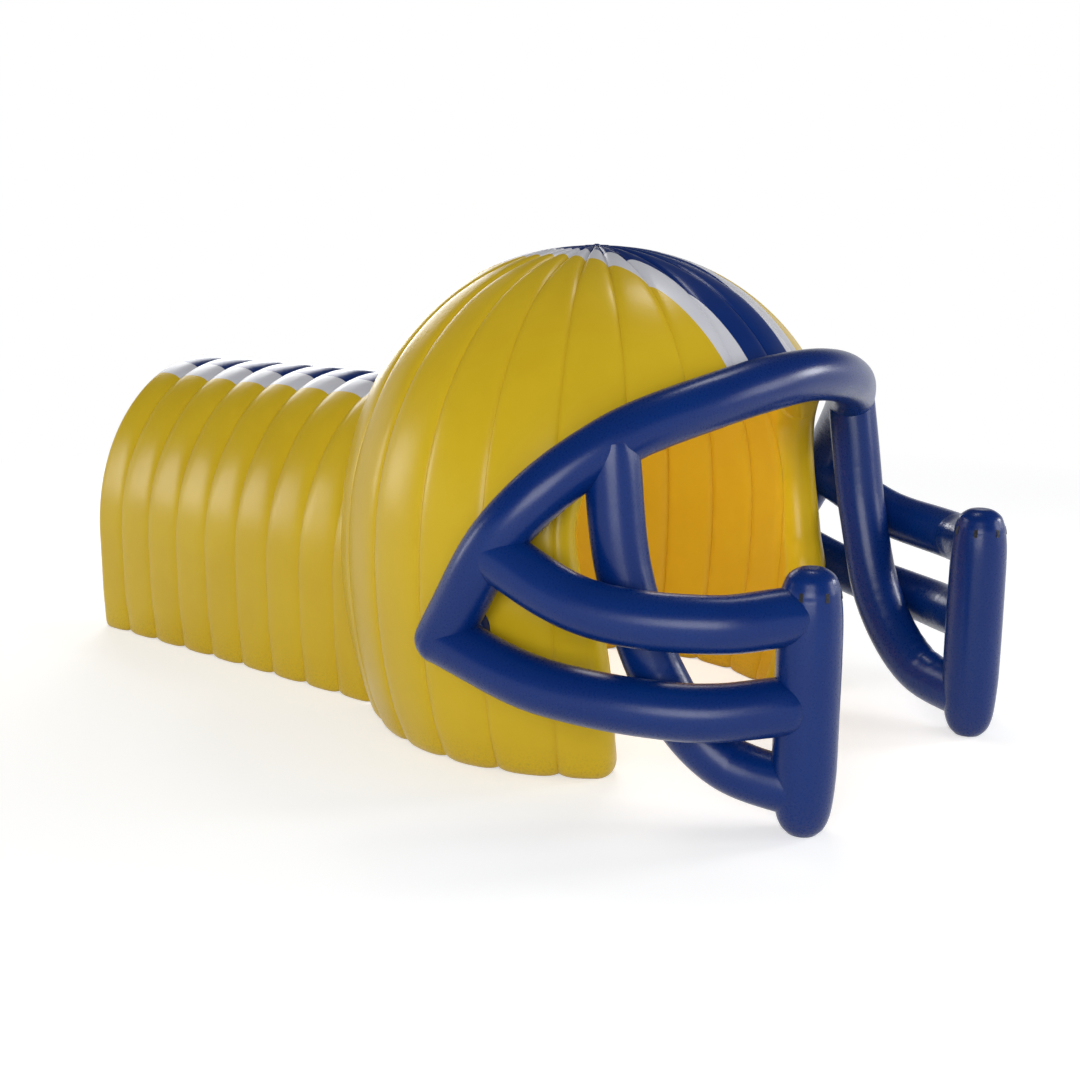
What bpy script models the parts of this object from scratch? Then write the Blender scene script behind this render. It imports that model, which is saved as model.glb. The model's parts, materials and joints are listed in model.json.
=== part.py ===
"""Inflatable entrance tunnel shaped like a football helmet: a dome of inflated gores with a face
mask of inflated tubes, a ribbed tunnel behind it, and the blower that keeps it up.

Metres, +Z up. The helmet faces -Y, the tunnel runs to +Y, and everything stands on Z = 0. The
sizes below are measured from the ground under the crown of the dome."""

import math

import bmesh
import bpy
from mathutils import Vector
from mathutils.geometry import intersect_point_line

# Fits
GAP = 0.0003  # between pieces that touch
WELD = 0.00001  # points this near each other are one
OVERRUN = 0.4  # how far a cutter runs past the walls that it cuts

# Dome
GORE_COUNT = 24
DOME_RADIUS = 2.01  # to the crests of the gores, at the waist
DOME_HEIGHT = 3.66
WAIST_HEIGHT = 1.33
ROOT_DEPTH = 2.90  # half height of the ellipse that the wall follows below the waist
CROWN_RADIUS = 0.08
GORE_WALL = 0.27  # seam to seam, through the wall
GORE_CREST = 0.040  # rise of a gore's outer face over its seams, at the waist
GORE_INNER_CREST = 0.035
SIDE_POWER = 0.952  # the wall above the waist is an ellipse, a little fuller
RISE_POWER = 0.909
FRONT_SWELL_SHARE = 0.02  # how much further the forehead stands out

# Face opening: degrees from the front centre, and shares of the height of its top edge
FACE_HEIGHT = 2.70
FACE_EDGE_SHARES = (
    (46, 0), (49, 0.36), (53.5, 0.49), (56, 0.67), (53, 0.80), (44, 0.885), (24, 0.965), (0, 1),
)
EDGE_ROUND = 0.17  # how far the closing panel takes to reach the full wall
EDGE_FLAT_SHARE = 0.25

# Where every chamber meets the ground
GROUND_ROUND = 0.09
GROUND_FLAT_SHARE = 0.75

# Tunnel
RIB_COUNT = 9
TUNNEL_LAP = 0.70  # how far the tunnel runs in under the dome
TUNNEL_START = DOME_RADIUS - TUNNEL_LAP
TUNNEL_LENGTH = 3.75
TUNNEL_HALF_WIDTH = 1.27  # to the crests of the ribs
TUNNEL_HEIGHT = 2.525
LEG_HEIGHT = 0.90  # of the upright part of its walls
RIB_WALL = 0.22
RIB_CREST = 0.035
RIB_INNER_CREST = 0.030
RIB_END_ROUND = 0.11
RIB_END_FLAT_SHARE = 0.4
REAR_GORE_FOOT = 1.05  # where the gores that end on the tunnel's roof are begun

# Face mask, mirrored in X
MASK_STANDOFF = 0.18  # of the corner's axis from the side of the dome
MASK_HALF_WIDTH = DOME_RADIUS + MASK_STANDOFF
POST_HALF_SPREAD = 1.235
POST_REACH = 2.68
POST_RADIUS = 0.2075
POST_HEIGHT = 1.75
BROW_HEIGHT = 2.78
BAR_RADIUS = 0.187
MID_BAR_HEIGHT = 1.46  # where each bar meets its post
JAW_BAR_HEIGHT = 0.87
DROP_BAR_HEIGHT = 0.28
# Shares of the post's radius and height, from the top down
POST_SHARES = (
    (0, 1), (0.38, 0.998), (0.68, 0.976), (0.81, 0.947), (0.92, 0.895), (1, 0.75),
    (1, 0.33), (0.96, 0.19), (0.86, 0.085), (0.70, 0.030), (0.48, 0), (0, 0),
)
# Shares of the mask's half width, the dome's radius and the brow's height
BROW_SHARES = (
    (1, 0.1987, 0.392), (0.95, 0.4573, 0.694), (0.7215, 0.6813, 0.878), (0.388, 0.8507, 0.966),
    (0, 0.9155, 1),
)
# Shares of the mask's half width, the post's reach and the brow's height
MID_BAR_SHARES = ((0.927, 0.567, 0.525), (0.785, 0.840, 0.507))
JAW_BAR_SHARES = ((0.950, 0.448, 0.317), (0.813, 0.776, 0.295))
DROP_BAR_SHARES = ((0.731, 0.560, 0.576), (0.686, 0.652, 0.310), (0.632, 0.800, 0.148))
MID_BAR_START_SHARE = 0.75  # along the brow's first stretch
HIDDEN_END_SHARE = 0.4
HIDDEN_END_SWELL = 0.8
EAR_BOSS_RADIUS = 0.17
EAR_BOSS_PROUD = 0.09  # how far it stands out from the dome
EAR_BOSS_DEGREES = 77.5  # round from the front
EAR_BOSS_HEIGHT = 1.12

# Blower, beside the far wall of the tunnel
BLOWER_OFFSET = 2.02  # of the fan's axis from the middle of the tunnel
FAN_AXIS_HEIGHT = 0.235
FAN_RADIUS = 0.115
FAN_WIDTH = 0.10
FAN_PLATE = 0.004
FAN_BLADES = 18
BLADE_DEPTH = 0.028
BLADE_THICKNESS = 0.003
BLADE_SWEEP = 16  # degrees that a blade's tip leads its root
BLADE_INSET = 0.002  # of the blades' tips inside the rim
HUB_RADIUS = 0.020
HUB_LENGTH = 0.040
SHAFT_RADIUS = 0.008
SHAFT_CLEARANCE = 0.0001
SHAFT_IN_MOTOR = 0.050
SHAFT_HOLE = 0.016  # radius of the hole that it runs through in the housing
SCROLL_START = 0.135  # radius of the housing at its tongue
SCROLL_END = 0.195
OUTLET_REACH = 0.24
OUTLET_HEIGHT = 0.17
HOUSING_WIDTH = 0.17
HOUSING_WALL = 0.005
FOOT_WIDTH = 0.30
FOOT_INSET = 0.010  # from the sides of the housing
INLET_RADIUS = 0.088
GRILLE_LAP = 0.014
GRILLE_THICKNESS = 0.005
GRILLE_SLOTS = 20
GRILLE_HUB_RADIUS = 0.024
GRILLE_SLOT_END = 0.080
GRILLE_SLOT_WIDTH = 0.004
MOTOR_RADIUS = 0.068
MOTOR_LENGTH = 0.13
MOTOR_ROUND = 0.015
MOTOR_FINS = 5
FIN_DEPTH = 0.004
GLAND_RADIUS = 0.009
GLAND_BORE = 0.004
GLAND_LENGTH = 0.022
SPIGOT_RADIUS = 0.078
SPIGOT_LENGTH = 0.08
SPIGOT_WALL = 0.004
SPIGOT_FLANGE = 0.20  # its side
SLEEVE_RADIUS = 0.105
SLEEVE_WALL = 0.003
SLEEVE_NECK = 0.10  # where it starts to widen, from the outlet
STRAP_PLACE = 0.055
STRAP_WIDTH = 0.030
STRAP_THICKNESS = 0.003
BUCKLE_SIZE = (0.024, 0.034, 0.010)
SWITCH_WIDTH = 0.016
SWITCH_RADIUS = 0.012
SWITCH_CLEARANCE = 0.0006
SWITCH_LIFT = 15  # degrees that the ends of the rocker rise over its pivot
SWITCH_TILT = 12  # degrees that it leans to either side
SWITCH_BOX = (0.050, 0.040, 0.032)

# Rear face of the last rib
ZIP_FOOT = 0.30
ZIP_LENGTH = 0.50
ZIP_WIDTH = 0.040
ZIP_THICKNESS = 0.002
COIL_WIDTH = 0.006
COIL_HEIGHT = 0.003
STOP_SIZE = (0.014, 0.004, 0.008)
SLIDER_SIZE = (0.018, 0.006, 0.030)
SLIDE_CLEARANCE = 0.0005
PULL_SIZE = (0.010, 0.003, 0.045)
RING_HEIGHT = 0.16
RING_HALF_WIDTH = 0.022
RING_DROP = 0.042
RING_WIRE = 0.0035
TAB_WIDTH = 0.034
TAB_LENGTH = 0.070
TAB_THICKNESS = 0.004
TAB_CLEARANCE = 0.0005
LOOP_RADIUS = RING_WIRE + TAB_CLEARANCE + TAB_THICKNESS

GORE_STEP = math.tau / GORE_COUNT
GORES_A_SIDE = GORE_COUNT // 2
RIB_PITCH = TUNNEL_LENGTH / RIB_COUNT
TUNNEL_END = TUNNEL_START + TUNNEL_LENGTH
FRONT = POST_REACH + POST_RADIUS
REAR_FACE = TUNNEL_END + GAP / 2  # of what is fixed to the last rib
REAR = REAR_FACE + TAB_CLEARANCE + 2 * LOOP_RADIUS
WALL_MIDDLE = TUNNEL_HALF_WIDTH - RIB_CREST - RIB_WALL / 2  # of the tunnel's upright walls
CENTRE_SHIFT = (FRONT - REAR) / 2  # puts the origin under the middle of the whole part
GROUND_ANGLE = -math.asin(WAIST_HEIGHT / ROOT_DEPTH)
CROWN_ANGLE = math.acos((CROWN_RADIUS / DOME_RADIUS) ** (1 / SIDE_POWER))
COLUMN_SHARES = (0, 0.25, 0.5, 0.75, 1)
EDGE_COLUMN_SHARES = (0, 0.06, 0.18, 0.38, 0.68, 1)
GROUND_LEVEL_SHARES = (0, 0.2, 1)


def clear_scene():
    for obj in list(bpy.data.objects):
        bpy.data.objects.remove(obj, do_unlink=True)


def new_collection(name):
    collection = bpy.data.collections.new(name)
    bpy.context.scene.collection.children.link(collection)
    return collection


def plain_material(name, colour, roughness, metallic=0.0):
    material = bpy.data.materials.new(name)
    material.use_nodes = True
    shader = material.node_tree.nodes["Principled BSDF"]
    shader.inputs["Base Color"].default_value = (*colour, 1)
    shader.inputs["Roughness"].default_value = roughness
    shader.inputs["Metallic"].default_value = metallic
    return material


clear_scene()
PARTS = new_collection("inflatable_sports_tunnel")
CUTTERS = new_collection("cutters")
YELLOW = plain_material("yellow_coated_fabric", (0.65, 0.45, 0.02), 0.45)
BLUE = plain_material("blue_coated_fabric", (0.01, 0.03, 0.16), 0.35)
WEBBING = plain_material("black_webbing", (0.02, 0.02, 0.02), 0.8)
PLASTIC = plain_material("moulded_black_plastic", (0.03, 0.03, 0.03), 0.5)
STEEL = plain_material("plated_steel", (0.6, 0.6, 0.6), 0.3, 1.0)
SWITCH_RED = plain_material("red_plastic", (0.6, 0.02, 0.01), 0.35)

FRAME = bpy.data.objects.new("middle_of_the_dome", None)
FRAME.location.y = CENTRE_SHIFT
PARTS.objects.link(FRAME)


def add(name, mesh, material, location=(0, 0, 0), smooth=True):
    obj = bpy.data.objects.new(name, mesh)
    mesh.materials.append(material)
    obj.parent = FRAME
    obj.location = location
    PARTS.objects.link(obj)
    if smooth:
        mesh.shade_smooth()
        mesh.set_sharp_from_angle(angle=math.radians(40))
    return obj


def add_cutter(name, mesh, location=(0, 0, 0)):
    obj = bpy.data.objects.new(name, mesh)
    obj.parent = FRAME
    obj.location = location
    obj.hide_render = True
    obj.display_type = "WIRE"
    CUTTERS.objects.link(obj)
    return obj


def join_or_cut(obj, other, operation):
    modifier = obj.modifiers.new(other.name, "BOOLEAN")
    modifier.operation = operation
    modifier.object = other
    modifier.solver = "EXACT"


def cut(obj, *others):
    for other in others:
        join_or_cut(obj, other, "DIFFERENCE")


def fuse(obj, *others):
    for other in others:
        join_or_cut(obj, other, "UNION")


def mesh_from(name, build):
    """A mesh made by build(bm), with its faces pointing out."""
    bm = bmesh.new()
    build(bm)
    bmesh.ops.recalc_face_normals(bm, faces=bm.faces)
    mesh = bpy.data.meshes.new(name)
    bm.to_mesh(mesh)
    bm.free()
    return mesh


def loft_mesh(name, rings):
    """A closed solid through rings of an outer row of points and the inner row behind it."""

    def build(bm):
        grid = [[bm.verts.new(point) for point in ring] for ring in rings]
        count = len(grid[0])
        for lower, upper in zip(grid, grid[1:]):
            for here in range(count):
                after = (here + 1) % count
                bm.faces.new((lower[here], lower[after], upper[after], upper[here]))
        for ring in (grid[0], grid[-1]):
            for here in range(count // 2 - 1):
                back = count - 1 - here
                bm.faces.new((ring[here], ring[here + 1], ring[back - 1], ring[back]))

    return mesh_from(name, build)


def box_mesh(name, size, centre=(0, 0, 0)):
    def build(bm):
        bmesh.ops.create_cube(bm, size=1)
        bmesh.ops.scale(bm, vec=size, verts=bm.verts)
        bmesh.ops.translate(bm, vec=centre, verts=bm.verts)

    return mesh_from(name, build)


def mesh_from_curve(curve, to_point=None):
    """The solid of a tube or a flat outline, with its caps welded, each point moved by to_point."""
    guide = bpy.data.objects.new(curve.name, curve)
    CUTTERS.objects.link(guide)
    bpy.context.view_layer.update()
    mesh = bpy.data.meshes.new_from_object(guide.evaluated_get(bpy.context.evaluated_depsgraph_get()))
    bpy.data.objects.remove(guide)
    bm = bmesh.new()
    bm.from_mesh(mesh)
    bmesh.ops.remove_doubles(bm, verts=bm.verts, dist=WELD)
    if to_point:
        for vertex in bm.verts:
            vertex.co = to_point(*vertex.co)
        bm.normal_update()
    bmesh.ops.recalc_face_normals(bm, faces=bm.faces)
    bm.to_mesh(mesh)
    bm.free()
    return mesh


def prism_mesh(name, outlines, depth, to_point):
    """Flat outlines given depth, each a closed body. to_point places (across, up, along)."""
    curve = bpy.data.curves.new(name, "CURVE")
    curve.dimensions = "2D"
    curve.fill_mode = "BOTH"
    curve.extrude = depth / 2
    for outline in outlines:
        spline = curve.splines.new("POLY")
        spline.use_cyclic_u = True
        spline.points.add(len(outline) - 1)
        for point, place in zip(spline.points, outline):
            point.co = (*place, 0, 1)
    return mesh_from_curve(curve, to_point)


def along_y(offset=0):
    """Lays a prism's outline upright across the tunnel, this far along it."""
    return lambda across, up, along: (across, along + offset, up)


def circle(radius, count):
    angles = [math.tau * step / count for step in range(count)]
    return [(radius * math.cos(angle), radius * math.sin(angle)) for angle in angles]


def turned(obj, steps):
    """Turns the object's profile round its own Z axis."""
    screw = obj.modifiers.new("turned", "SCREW")
    screw.axis = "Z"
    screw.steps = screw.render_steps = steps
    screw.use_merge_vertices = True
    screw.merge_threshold = WELD
    return obj


def profile_mesh(name, points, closed=False):
    mesh = bpy.data.meshes.new(name)
    edges = [(here, here + 1) for here in range(len(points) - 1)]
    if closed:
        edges.append((len(points) - 1, 0))
    mesh.from_pydata([(radius, 0, height) for radius, height in points], edges, [])
    return mesh


def smooth_path(points, steps):
    """A smooth curve through the points, with this many steps to each stretch."""
    points = [Vector(point) for point in points]
    run = [points[0] * 2 - points[1], *points, points[-1] * 2 - points[-2]]
    path = []
    for before, start, end, after in zip(run, run[1:], run[2:], run[3:]):
        for step in range(steps):
            t = step / steps
            bend = 2 * before - 5 * start + 4 * end - after
            twist = 3 * start - before - 3 * end + after
            path.append((2 * start + (end - before) * t + bend * t**2 + twist * t**3) / 2)
    return [*path, points[-1]]


def rounded_ends(path, radius):
    """The path with a dome of the tube's radius past each end, and the share of the radius there."""
    start = (path[0] - path[1]).normalized()
    end = (path[-1] - path[-2]).normalized()
    angles = [math.radians(degrees) for degrees in (30, 58, 80)]
    before = [path[0] + start * radius * math.sin(angle) for angle in reversed(angles)]
    after = [path[-1] + end * radius * math.sin(angle) for angle in angles]
    falls = [math.cos(angle) for angle in angles]
    return [*before, *path, *after], [*reversed(falls), *[1] * len(path), *falls]


def hidden_ends(path):
    """The path with narrower ends, which stay inside the tubes that the ends run into."""
    near_start = path[0].lerp(path[1], HIDDEN_END_SHARE)
    near_end = path[-1].lerp(path[-2], HIDDEN_END_SHARE)
    ends = [path[0], near_start, *path[1:-1], near_end, path[-1]]
    return ends, [HIDDEN_END_SWELL, *[1] * (len(ends) - 2), HIDDEN_END_SWELL]


def tube_mesh(name, path, swells=None, radius=BAR_RADIUS):
    curve = bpy.data.curves.new(name, "CURVE")
    curve.dimensions = "3D"
    curve.bevel_depth = radius
    curve.bevel_resolution = 4
    curve.use_fill_caps = True
    spline = curve.splines.new("POLY")
    spline.points.add(len(path) - 1)
    for point, place, swell in zip(spline.points, path, swells or [1] * len(path)):
        point.co = (*place, 1)
        point.radius = swell
    return mesh_from_curve(curve)


def lerp(start, end, share):
    return start + (end - start) * share


def interpolate(pairs, value):
    """Reads a table of (key, value) pairs with rising keys."""
    for (key, start), (next_key, end) in zip(pairs, pairs[1:]):
        if value <= next_key:
            return lerp(start, end, max(0, value - key) / (next_key - key))
    return pairs[-1][1]


def bulge(share):
    """Rise of a chamber's face between its seams, 0 at both and 1 in the middle."""
    return 1 - (2 * share - 1) ** 2


def rounding(distance, reach, flat_share):
    """Share of the full wall this far from a rounded edge."""
    left = min(1, max(0, 1 - distance / reach))
    return flat_share + (1 - flat_share) * math.sqrt(1 - left**2)


def crest_line(angle):
    """Radius and height of the dome's crests, by the angle on their profile, 0 at the waist."""
    if angle < 0:
        return DOME_RADIUS * math.cos(angle), WAIST_HEIGHT + ROOT_DEPTH * math.sin(angle)
    rise = DOME_HEIGHT - WAIST_HEIGHT
    return (
        DOME_RADIUS * math.cos(angle) ** SIDE_POWER,
        WAIST_HEIGHT + rise * math.sin(angle) ** RISE_POWER,
    )


def profile_angle(height):
    if height < WAIST_HEIGHT:
        return math.asin((height - WAIST_HEIGHT) / ROOT_DEPTH)
    share = (height - WAIST_HEIGHT) / (DOME_HEIGHT - WAIST_HEIGHT)
    return math.asin(share ** (1 / RISE_POWER))


def crest_rise(radius):
    """Rise of a gore's crest over its seams where the dome has this radius."""
    return GORE_CREST * math.sqrt(radius / DOME_RADIUS)


def profile_normal(angle):
    """Outward direction of the wall, level below the waist so that the feet stay flat."""
    if angle <= 0:
        return 1, 0
    step = math.radians(0.5)
    lower = crest_line(max(0, angle - step))
    upper = crest_line(angle + step)
    slope = Vector((upper[1] - lower[1], lower[0] - upper[0])).normalized()
    return slope.x, slope.y


def dome_point(azimuth, angle, offset):
    """A point this far out from the middle of the dome's wall. Azimuth is 0 at the front."""
    radius, height = crest_line(angle)
    across, up = profile_normal(angle)
    forward = max(0, math.cos(azimuth)) ** 2
    swell = FRONT_SWELL_SHARE * forward * min(1, max(0, angle) / math.radians(45))
    depth = offset - GORE_WALL / 2 - crest_rise(radius)
    radius = radius * (1 + swell) + across * depth
    return Vector((radius * math.sin(azimuth), -radius * math.cos(azimuth), height + up * depth))


def face_edge():
    """The edge of the face opening as (azimuth, height), from the ground to the front centre."""
    marks = [Vector((math.radians(degrees), share * FACE_HEIGHT)) for degrees, share in FACE_EDGE_SHARES]
    return [tuple(point) for point in smooth_path(marks, 6)]


FACE_EDGE = face_edge()
FACE_EDGE_POINTS = [dome_point(azimuth, profile_angle(height), 0) for azimuth, height in FACE_EDGE]
WIDEST = max(range(len(FACE_EDGE)), key=lambda index: FACE_EDGE[index][0])


def face_azimuth(height):
    return interpolate([(level, azimuth) for azimuth, level in FACE_EDGE], height)


def face_height(azimuth):
    return interpolate(FACE_EDGE[:WIDEST:-1], azimuth)


def edge_distance(point):
    """Distance along the wall's middle from the edge of the face opening."""
    nearest = []
    for start, end in zip(FACE_EDGE_POINTS, FACE_EDGE_POINTS[1:]):
        foot, share = intersect_point_line(point, start, end)
        foot = start if share < 0 else end if share > 1 else foot
        nearest.append((point - foot).length)
    return min(nearest)


def gore_ring(places, first_seam, second_seam, grow):
    """The outer row of points across a gore, then the inner row back."""
    outer, inner = [], []
    for azimuth, angle in places:
        middle = dome_point(azimuth, angle, 0)
        crest = crest_rise(crest_line(angle)[0])
        fullness = rounding(edge_distance(middle), EDGE_ROUND, EDGE_FLAT_SHARE)
        fullness *= rounding(middle.z, GROUND_ROUND, GROUND_FLAT_SHARE)
        rise = crest * bulge((azimuth - first_seam) / (second_seam - first_seam))
        for row, side, part in ((outer, 1, 1), (inner, -1, GORE_INNER_CREST / GORE_CREST)):
            out = fullness * (GORE_WALL / 2 + part * rise) + grow
            point = dome_point(azimuth, angle, side * out)
            sideways = Vector((math.cos(azimuth), math.sin(azimuth), 0)) * (GAP / 2 - grow)
            if azimuth == first_seam:
                point += sideways
            if azimuth == second_seam:
                point -= sideways
            row.append(point)
    return outer + inner[::-1]


def gore_mesh(name, number, mirrored, grow=0):
    """Gore `number` from the front centre: over the face, beside it, behind it or over the tunnel.

    grow makes the slightly larger copy that cuts what meets it."""
    first_seam = number * GORE_STEP
    second_seam = first_seam + GORE_STEP
    over_face = second_seam <= FACE_EDGE[0][0]
    beside_face = not over_face and first_seam < FACE_EDGE[WIDEST][0]
    over_roof = number > GORES_A_SIDE - TUNNEL_GORES
    rings = []
    if over_face:
        for share in (0, 0.02, 0.055, 0.10, 0.2, 0.36, 0.55, 0.75, 0.9, 1):
            places = []
            for column in COLUMN_SHARES:
                azimuth = lerp(first_seam, second_seam, column)
                start = profile_angle(face_height(azimuth))
                places.append((azimuth, lerp(start, CROWN_ANGLE, share)))
            rings.append(gore_ring(places, first_seam, second_seam, grow))
    else:
        heights = [share * GROUND_ROUND for share in GROUND_LEVEL_SHARES]
        heights = [REAR_GORE_FOOT] if over_roof else heights
        steps = 15 if beside_face else 9
        start = profile_angle(heights[-1])
        angles = [profile_angle(height) for height in heights]
        angles += [lerp(start, CROWN_ANGLE, step / steps) for step in range(1, steps + 1)]
        columns = EDGE_COLUMN_SHARES if beside_face else COLUMN_SHARES
        for angle in angles:
            height = crest_line(angle)[1]
            left = max(first_seam, face_azimuth(height)) if beside_face else first_seam
            left = first_seam if height > FACE_HEIGHT else left
            places = [(lerp(left, second_seam, column), angle) for column in columns]
            rings.append(gore_ring(places, first_seam, second_seam, grow))
    if mirrored:
        rings = [[Vector((-point.x, point.y, point.z)) for point in ring] for ring in rings]
    return loft_mesh(name, rings)


TUNNEL_GORES = math.ceil(math.asin(TUNNEL_HALF_WIDTH / (DOME_RADIUS - GORE_CREST)) / GORE_STEP - 0.2)


def arch_stations(grow=0):
    """Points of the tunnel's crest line from one foot to the other, each with its way out."""
    half = TUNNEL_HALF_WIDTH + grow
    rise = TUNNEL_HEIGHT - LEG_HEIGHT + grow
    feet = [share * GROUND_ROUND for share in GROUND_LEVEL_SHARES]
    stations = [(Vector((-half, 0, height)), Vector((-1, 0, 0))) for height in feet]
    steps = 14
    for step in range(steps + 1):
        angle = math.pi * step / steps
        across, up = -math.cos(angle), math.sin(angle)
        normal = Vector((across / half, 0, up / rise)).normalized()
        stations.append((Vector((half * across, 0, LEG_HEIGHT + rise * up)), normal))
    stations += [(Vector((half, 0, height)), Vector((1, 0, 0))) for height in reversed(feet)]
    return stations


def rib_mesh(name, number, grow=0):
    """Rib `number` from the dome; grow makes the slightly larger copy that cuts what meets it."""
    start = TUNNEL_START + number * RIB_PITCH + GAP / 2 - grow
    width = RIB_PITCH - GAP + 2 * grow
    shares = list(COLUMN_SHARES)
    if number == 0:
        shares = list(EDGE_COLUMN_SHARES)
    if number == RIB_COUNT - 1:
        shares = [1 - share for share in reversed(EDGE_COLUMN_SHARES)]
    rings = []
    for place, normal in arch_stations():
        middle = place - normal * (RIB_CREST + RIB_WALL / 2)
        outer, inner = [], []
        for share in shares:
            fullness = rounding(place.z, GROUND_ROUND, GROUND_FLAT_SHARE)
            if number == 0:
                fullness *= rounding(share * width, RIB_END_ROUND, RIB_END_FLAT_SHARE)
            if number == RIB_COUNT - 1:
                fullness *= rounding((1 - share) * width, RIB_END_ROUND, RIB_END_FLAT_SHARE)
            along = Vector((0, start + share * width, 0))
            out = fullness * (RIB_WALL / 2 + RIB_CREST * bulge(share)) + grow
            back = fullness * (RIB_WALL / 2 + RIB_INNER_CREST * bulge(share)) + grow
            outer.append(middle + along + normal * out)
            inner.append(middle + along - normal * back)
        rings.append(outer + inner[::-1])
    return loft_mesh(name, rings)


def tunnel_cutters():
    """Cutters for the gores that end on the tunnel: the way through it and the ribs they lie on."""
    outline = [(place.x, place.z) for place, _ in arch_stations(-RIB_CREST * 1.2)]
    outline[0] = (outline[0][0], -OVERRUN)
    outline[-1] = (outline[-1][0], -OVERRUN)
    middle = DOME_RADIUS - GORE_WALL
    mesh = prism_mesh("tunnel_way", [outline], 2 * middle, along_y(middle))
    ribs = [add_cutter(f"around_rib_{number + 1}", rib_mesh("rib", number, GAP)) for number in (0, 1)]
    return [add_cutter("tunnel_way", mesh), *ribs]


def make_dome():
    way, *ribs = tunnel_cutters()
    for side in ("right", "left"):
        for number in range(GORES_A_SIDE):
            name = f"gore_{side}_{number + 1:02d}"
            gore = add(name, gore_mesh(name, number, side == "right"), YELLOW)
            if number >= GORES_A_SIDE - TUNNEL_GORES:
                cut(gore, way)
            if number >= GORES_A_SIDE - TUNNEL_GORES - 1:
                cut(gore, *ribs)
    side = math.radians(90)
    outer = dome_point(side, CROWN_ANGLE, GORE_WALL / 2)
    inner = dome_point(side, CROWN_ANGLE, -GORE_WALL / 2)
    rim, root = outer.x - GAP, inner.x - GAP
    profile = [(0, DOME_HEIGHT), (rim * 0.7, (DOME_HEIGHT + outer.z) / 2), (rim, outer.z)]
    profile += [(root, inner.z), (0, inner.z)]
    crown = add("crown_plug", profile_mesh("crown_plug", profile), BLUE)
    turned(crown, GORE_COUNT)


def make_tunnel():
    for number in range(RIB_COUNT):
        name = f"tunnel_rib_{number + 1}"
        add(name, rib_mesh(name, number), YELLOW)


def mask_point(shares, side, reach=POST_REACH):
    across, forward, up = shares
    return Vector((side * across * MASK_HALF_WIDTH, -forward * reach, up * BROW_HEIGHT))


def post_profile(grow):
    """Domed top, full middle and flat foot of a post, from the top down."""
    return [
        (across * (POST_RADIUS + grow), up * (POST_HEIGHT + grow)) for across, up in POST_SHARES
    ]


def brow_path():
    half = [mask_point(shares, 1, DOME_RADIUS) for shares in BROW_SHARES]
    other = [mask_point(shares, -1, DOME_RADIUS) for shares in reversed(BROW_SHARES[:-1])]
    return half + other


def make_mask():
    steps = 4
    brow = smooth_path(brow_path(), steps)
    rounded, swells = rounded_ends(brow, BAR_RADIUS)
    add("brow_tube", tube_mesh("brow_tube", rounded, swells), BLUE)
    around_brow = add_cutter("around_brow", tube_mesh("around_brow", rounded, swells, BAR_RADIUS + GAP))
    for name, side in (("left", 1), ("right", -1)):
        stretch = brow if side > 0 else brow[::-1]
        start = stretch[0]
        at_mid_bar = stretch[round(MID_BAR_START_SHARE * steps)]
        at_drop_bar = stretch[2 * steps]
        foot = Vector((side * POST_HALF_SPREAD, -POST_REACH, 0))
        post = add(f"post_{name}", profile_mesh("post", post_profile(0)), BLUE, foot)
        around_post = profile_mesh("around_post", post_profile(GAP))
        around_post = add_cutter(f"around_post_{name}", around_post, foot)
        turned(post, 20)
        turned(around_post, 20)
        bars = (
            ("mid_bar", at_mid_bar, MID_BAR_SHARES, MID_BAR_HEIGHT),
            ("jaw_bar", start, JAW_BAR_SHARES, JAW_BAR_HEIGHT),
            ("drop_bar", at_drop_bar, DROP_BAR_SHARES, DROP_BAR_HEIGHT),
        )
        for bar, begin, shares, height in bars:
            marks = [begin, *[mask_point(share, side) for share in shares], foot + Vector((0, 0, height))]
            path, swells = hidden_ends(smooth_path(marks, steps))
            cut(add(f"{bar}_{name}", tube_mesh(bar, path, swells), BLUE), around_brow, around_post)
            if bar == "jaw_bar":
                mesh = tube_mesh(f"around_{bar}", path, swells, BAR_RADIUS + GAP)
                make_ear_boss(name, side, around_brow, add_cutter(f"around_{bar}_{name}", mesh))


def make_ear_boss(name, side, *around_tubes):
    """Round pad that joins the mask's corner to the side of the dome."""
    azimuth = math.radians(EAR_BOSS_DEGREES)
    centre = dome_point(azimuth, profile_angle(EAR_BOSS_HEIGHT), GORE_WALL / 2 + GORE_CREST)
    profile = [(0, EAR_BOSS_PROUD), (EAR_BOSS_RADIUS * 0.8, EAR_BOSS_PROUD)]
    profile += [(EAR_BOSS_RADIUS, EAR_BOSS_PROUD * 0.75), (EAR_BOSS_RADIUS, -EAR_BOSS_PROUD)]
    profile += [(0, -EAR_BOSS_PROUD)]
    place = (side * centre.x, centre.y, centre.z)
    boss = add(f"ear_boss_{name}", profile_mesh("ear_boss", profile), BLUE, place)
    out = Vector((side * math.sin(azimuth), -math.cos(azimuth), 0))
    boss.rotation_euler = out.to_track_quat("Z", "Y").to_euler()
    turned(boss, 16)
    number = int(azimuth / GORE_STEP)
    for behind in (number - 1, number):
        mesh = gore_mesh("around_gore", behind, side < 0, GAP)
        cut(boss, add_cutter(f"around_gore_{name}_{behind + 1}", mesh))
    cut(boss, *around_tubes)


def add_at_fan(name, mesh, material, across=0, along=0, up=0):
    """Adds a piece of the blower, placed from the middle of the fan."""
    place = (BLOWER_OFFSET + across, TUNNEL_END - RIB_PITCH / 2 + along, FAN_AXIS_HEIGHT + up)
    return add(name, mesh, material, place) if material else add_cutter(name, mesh, place)


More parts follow.
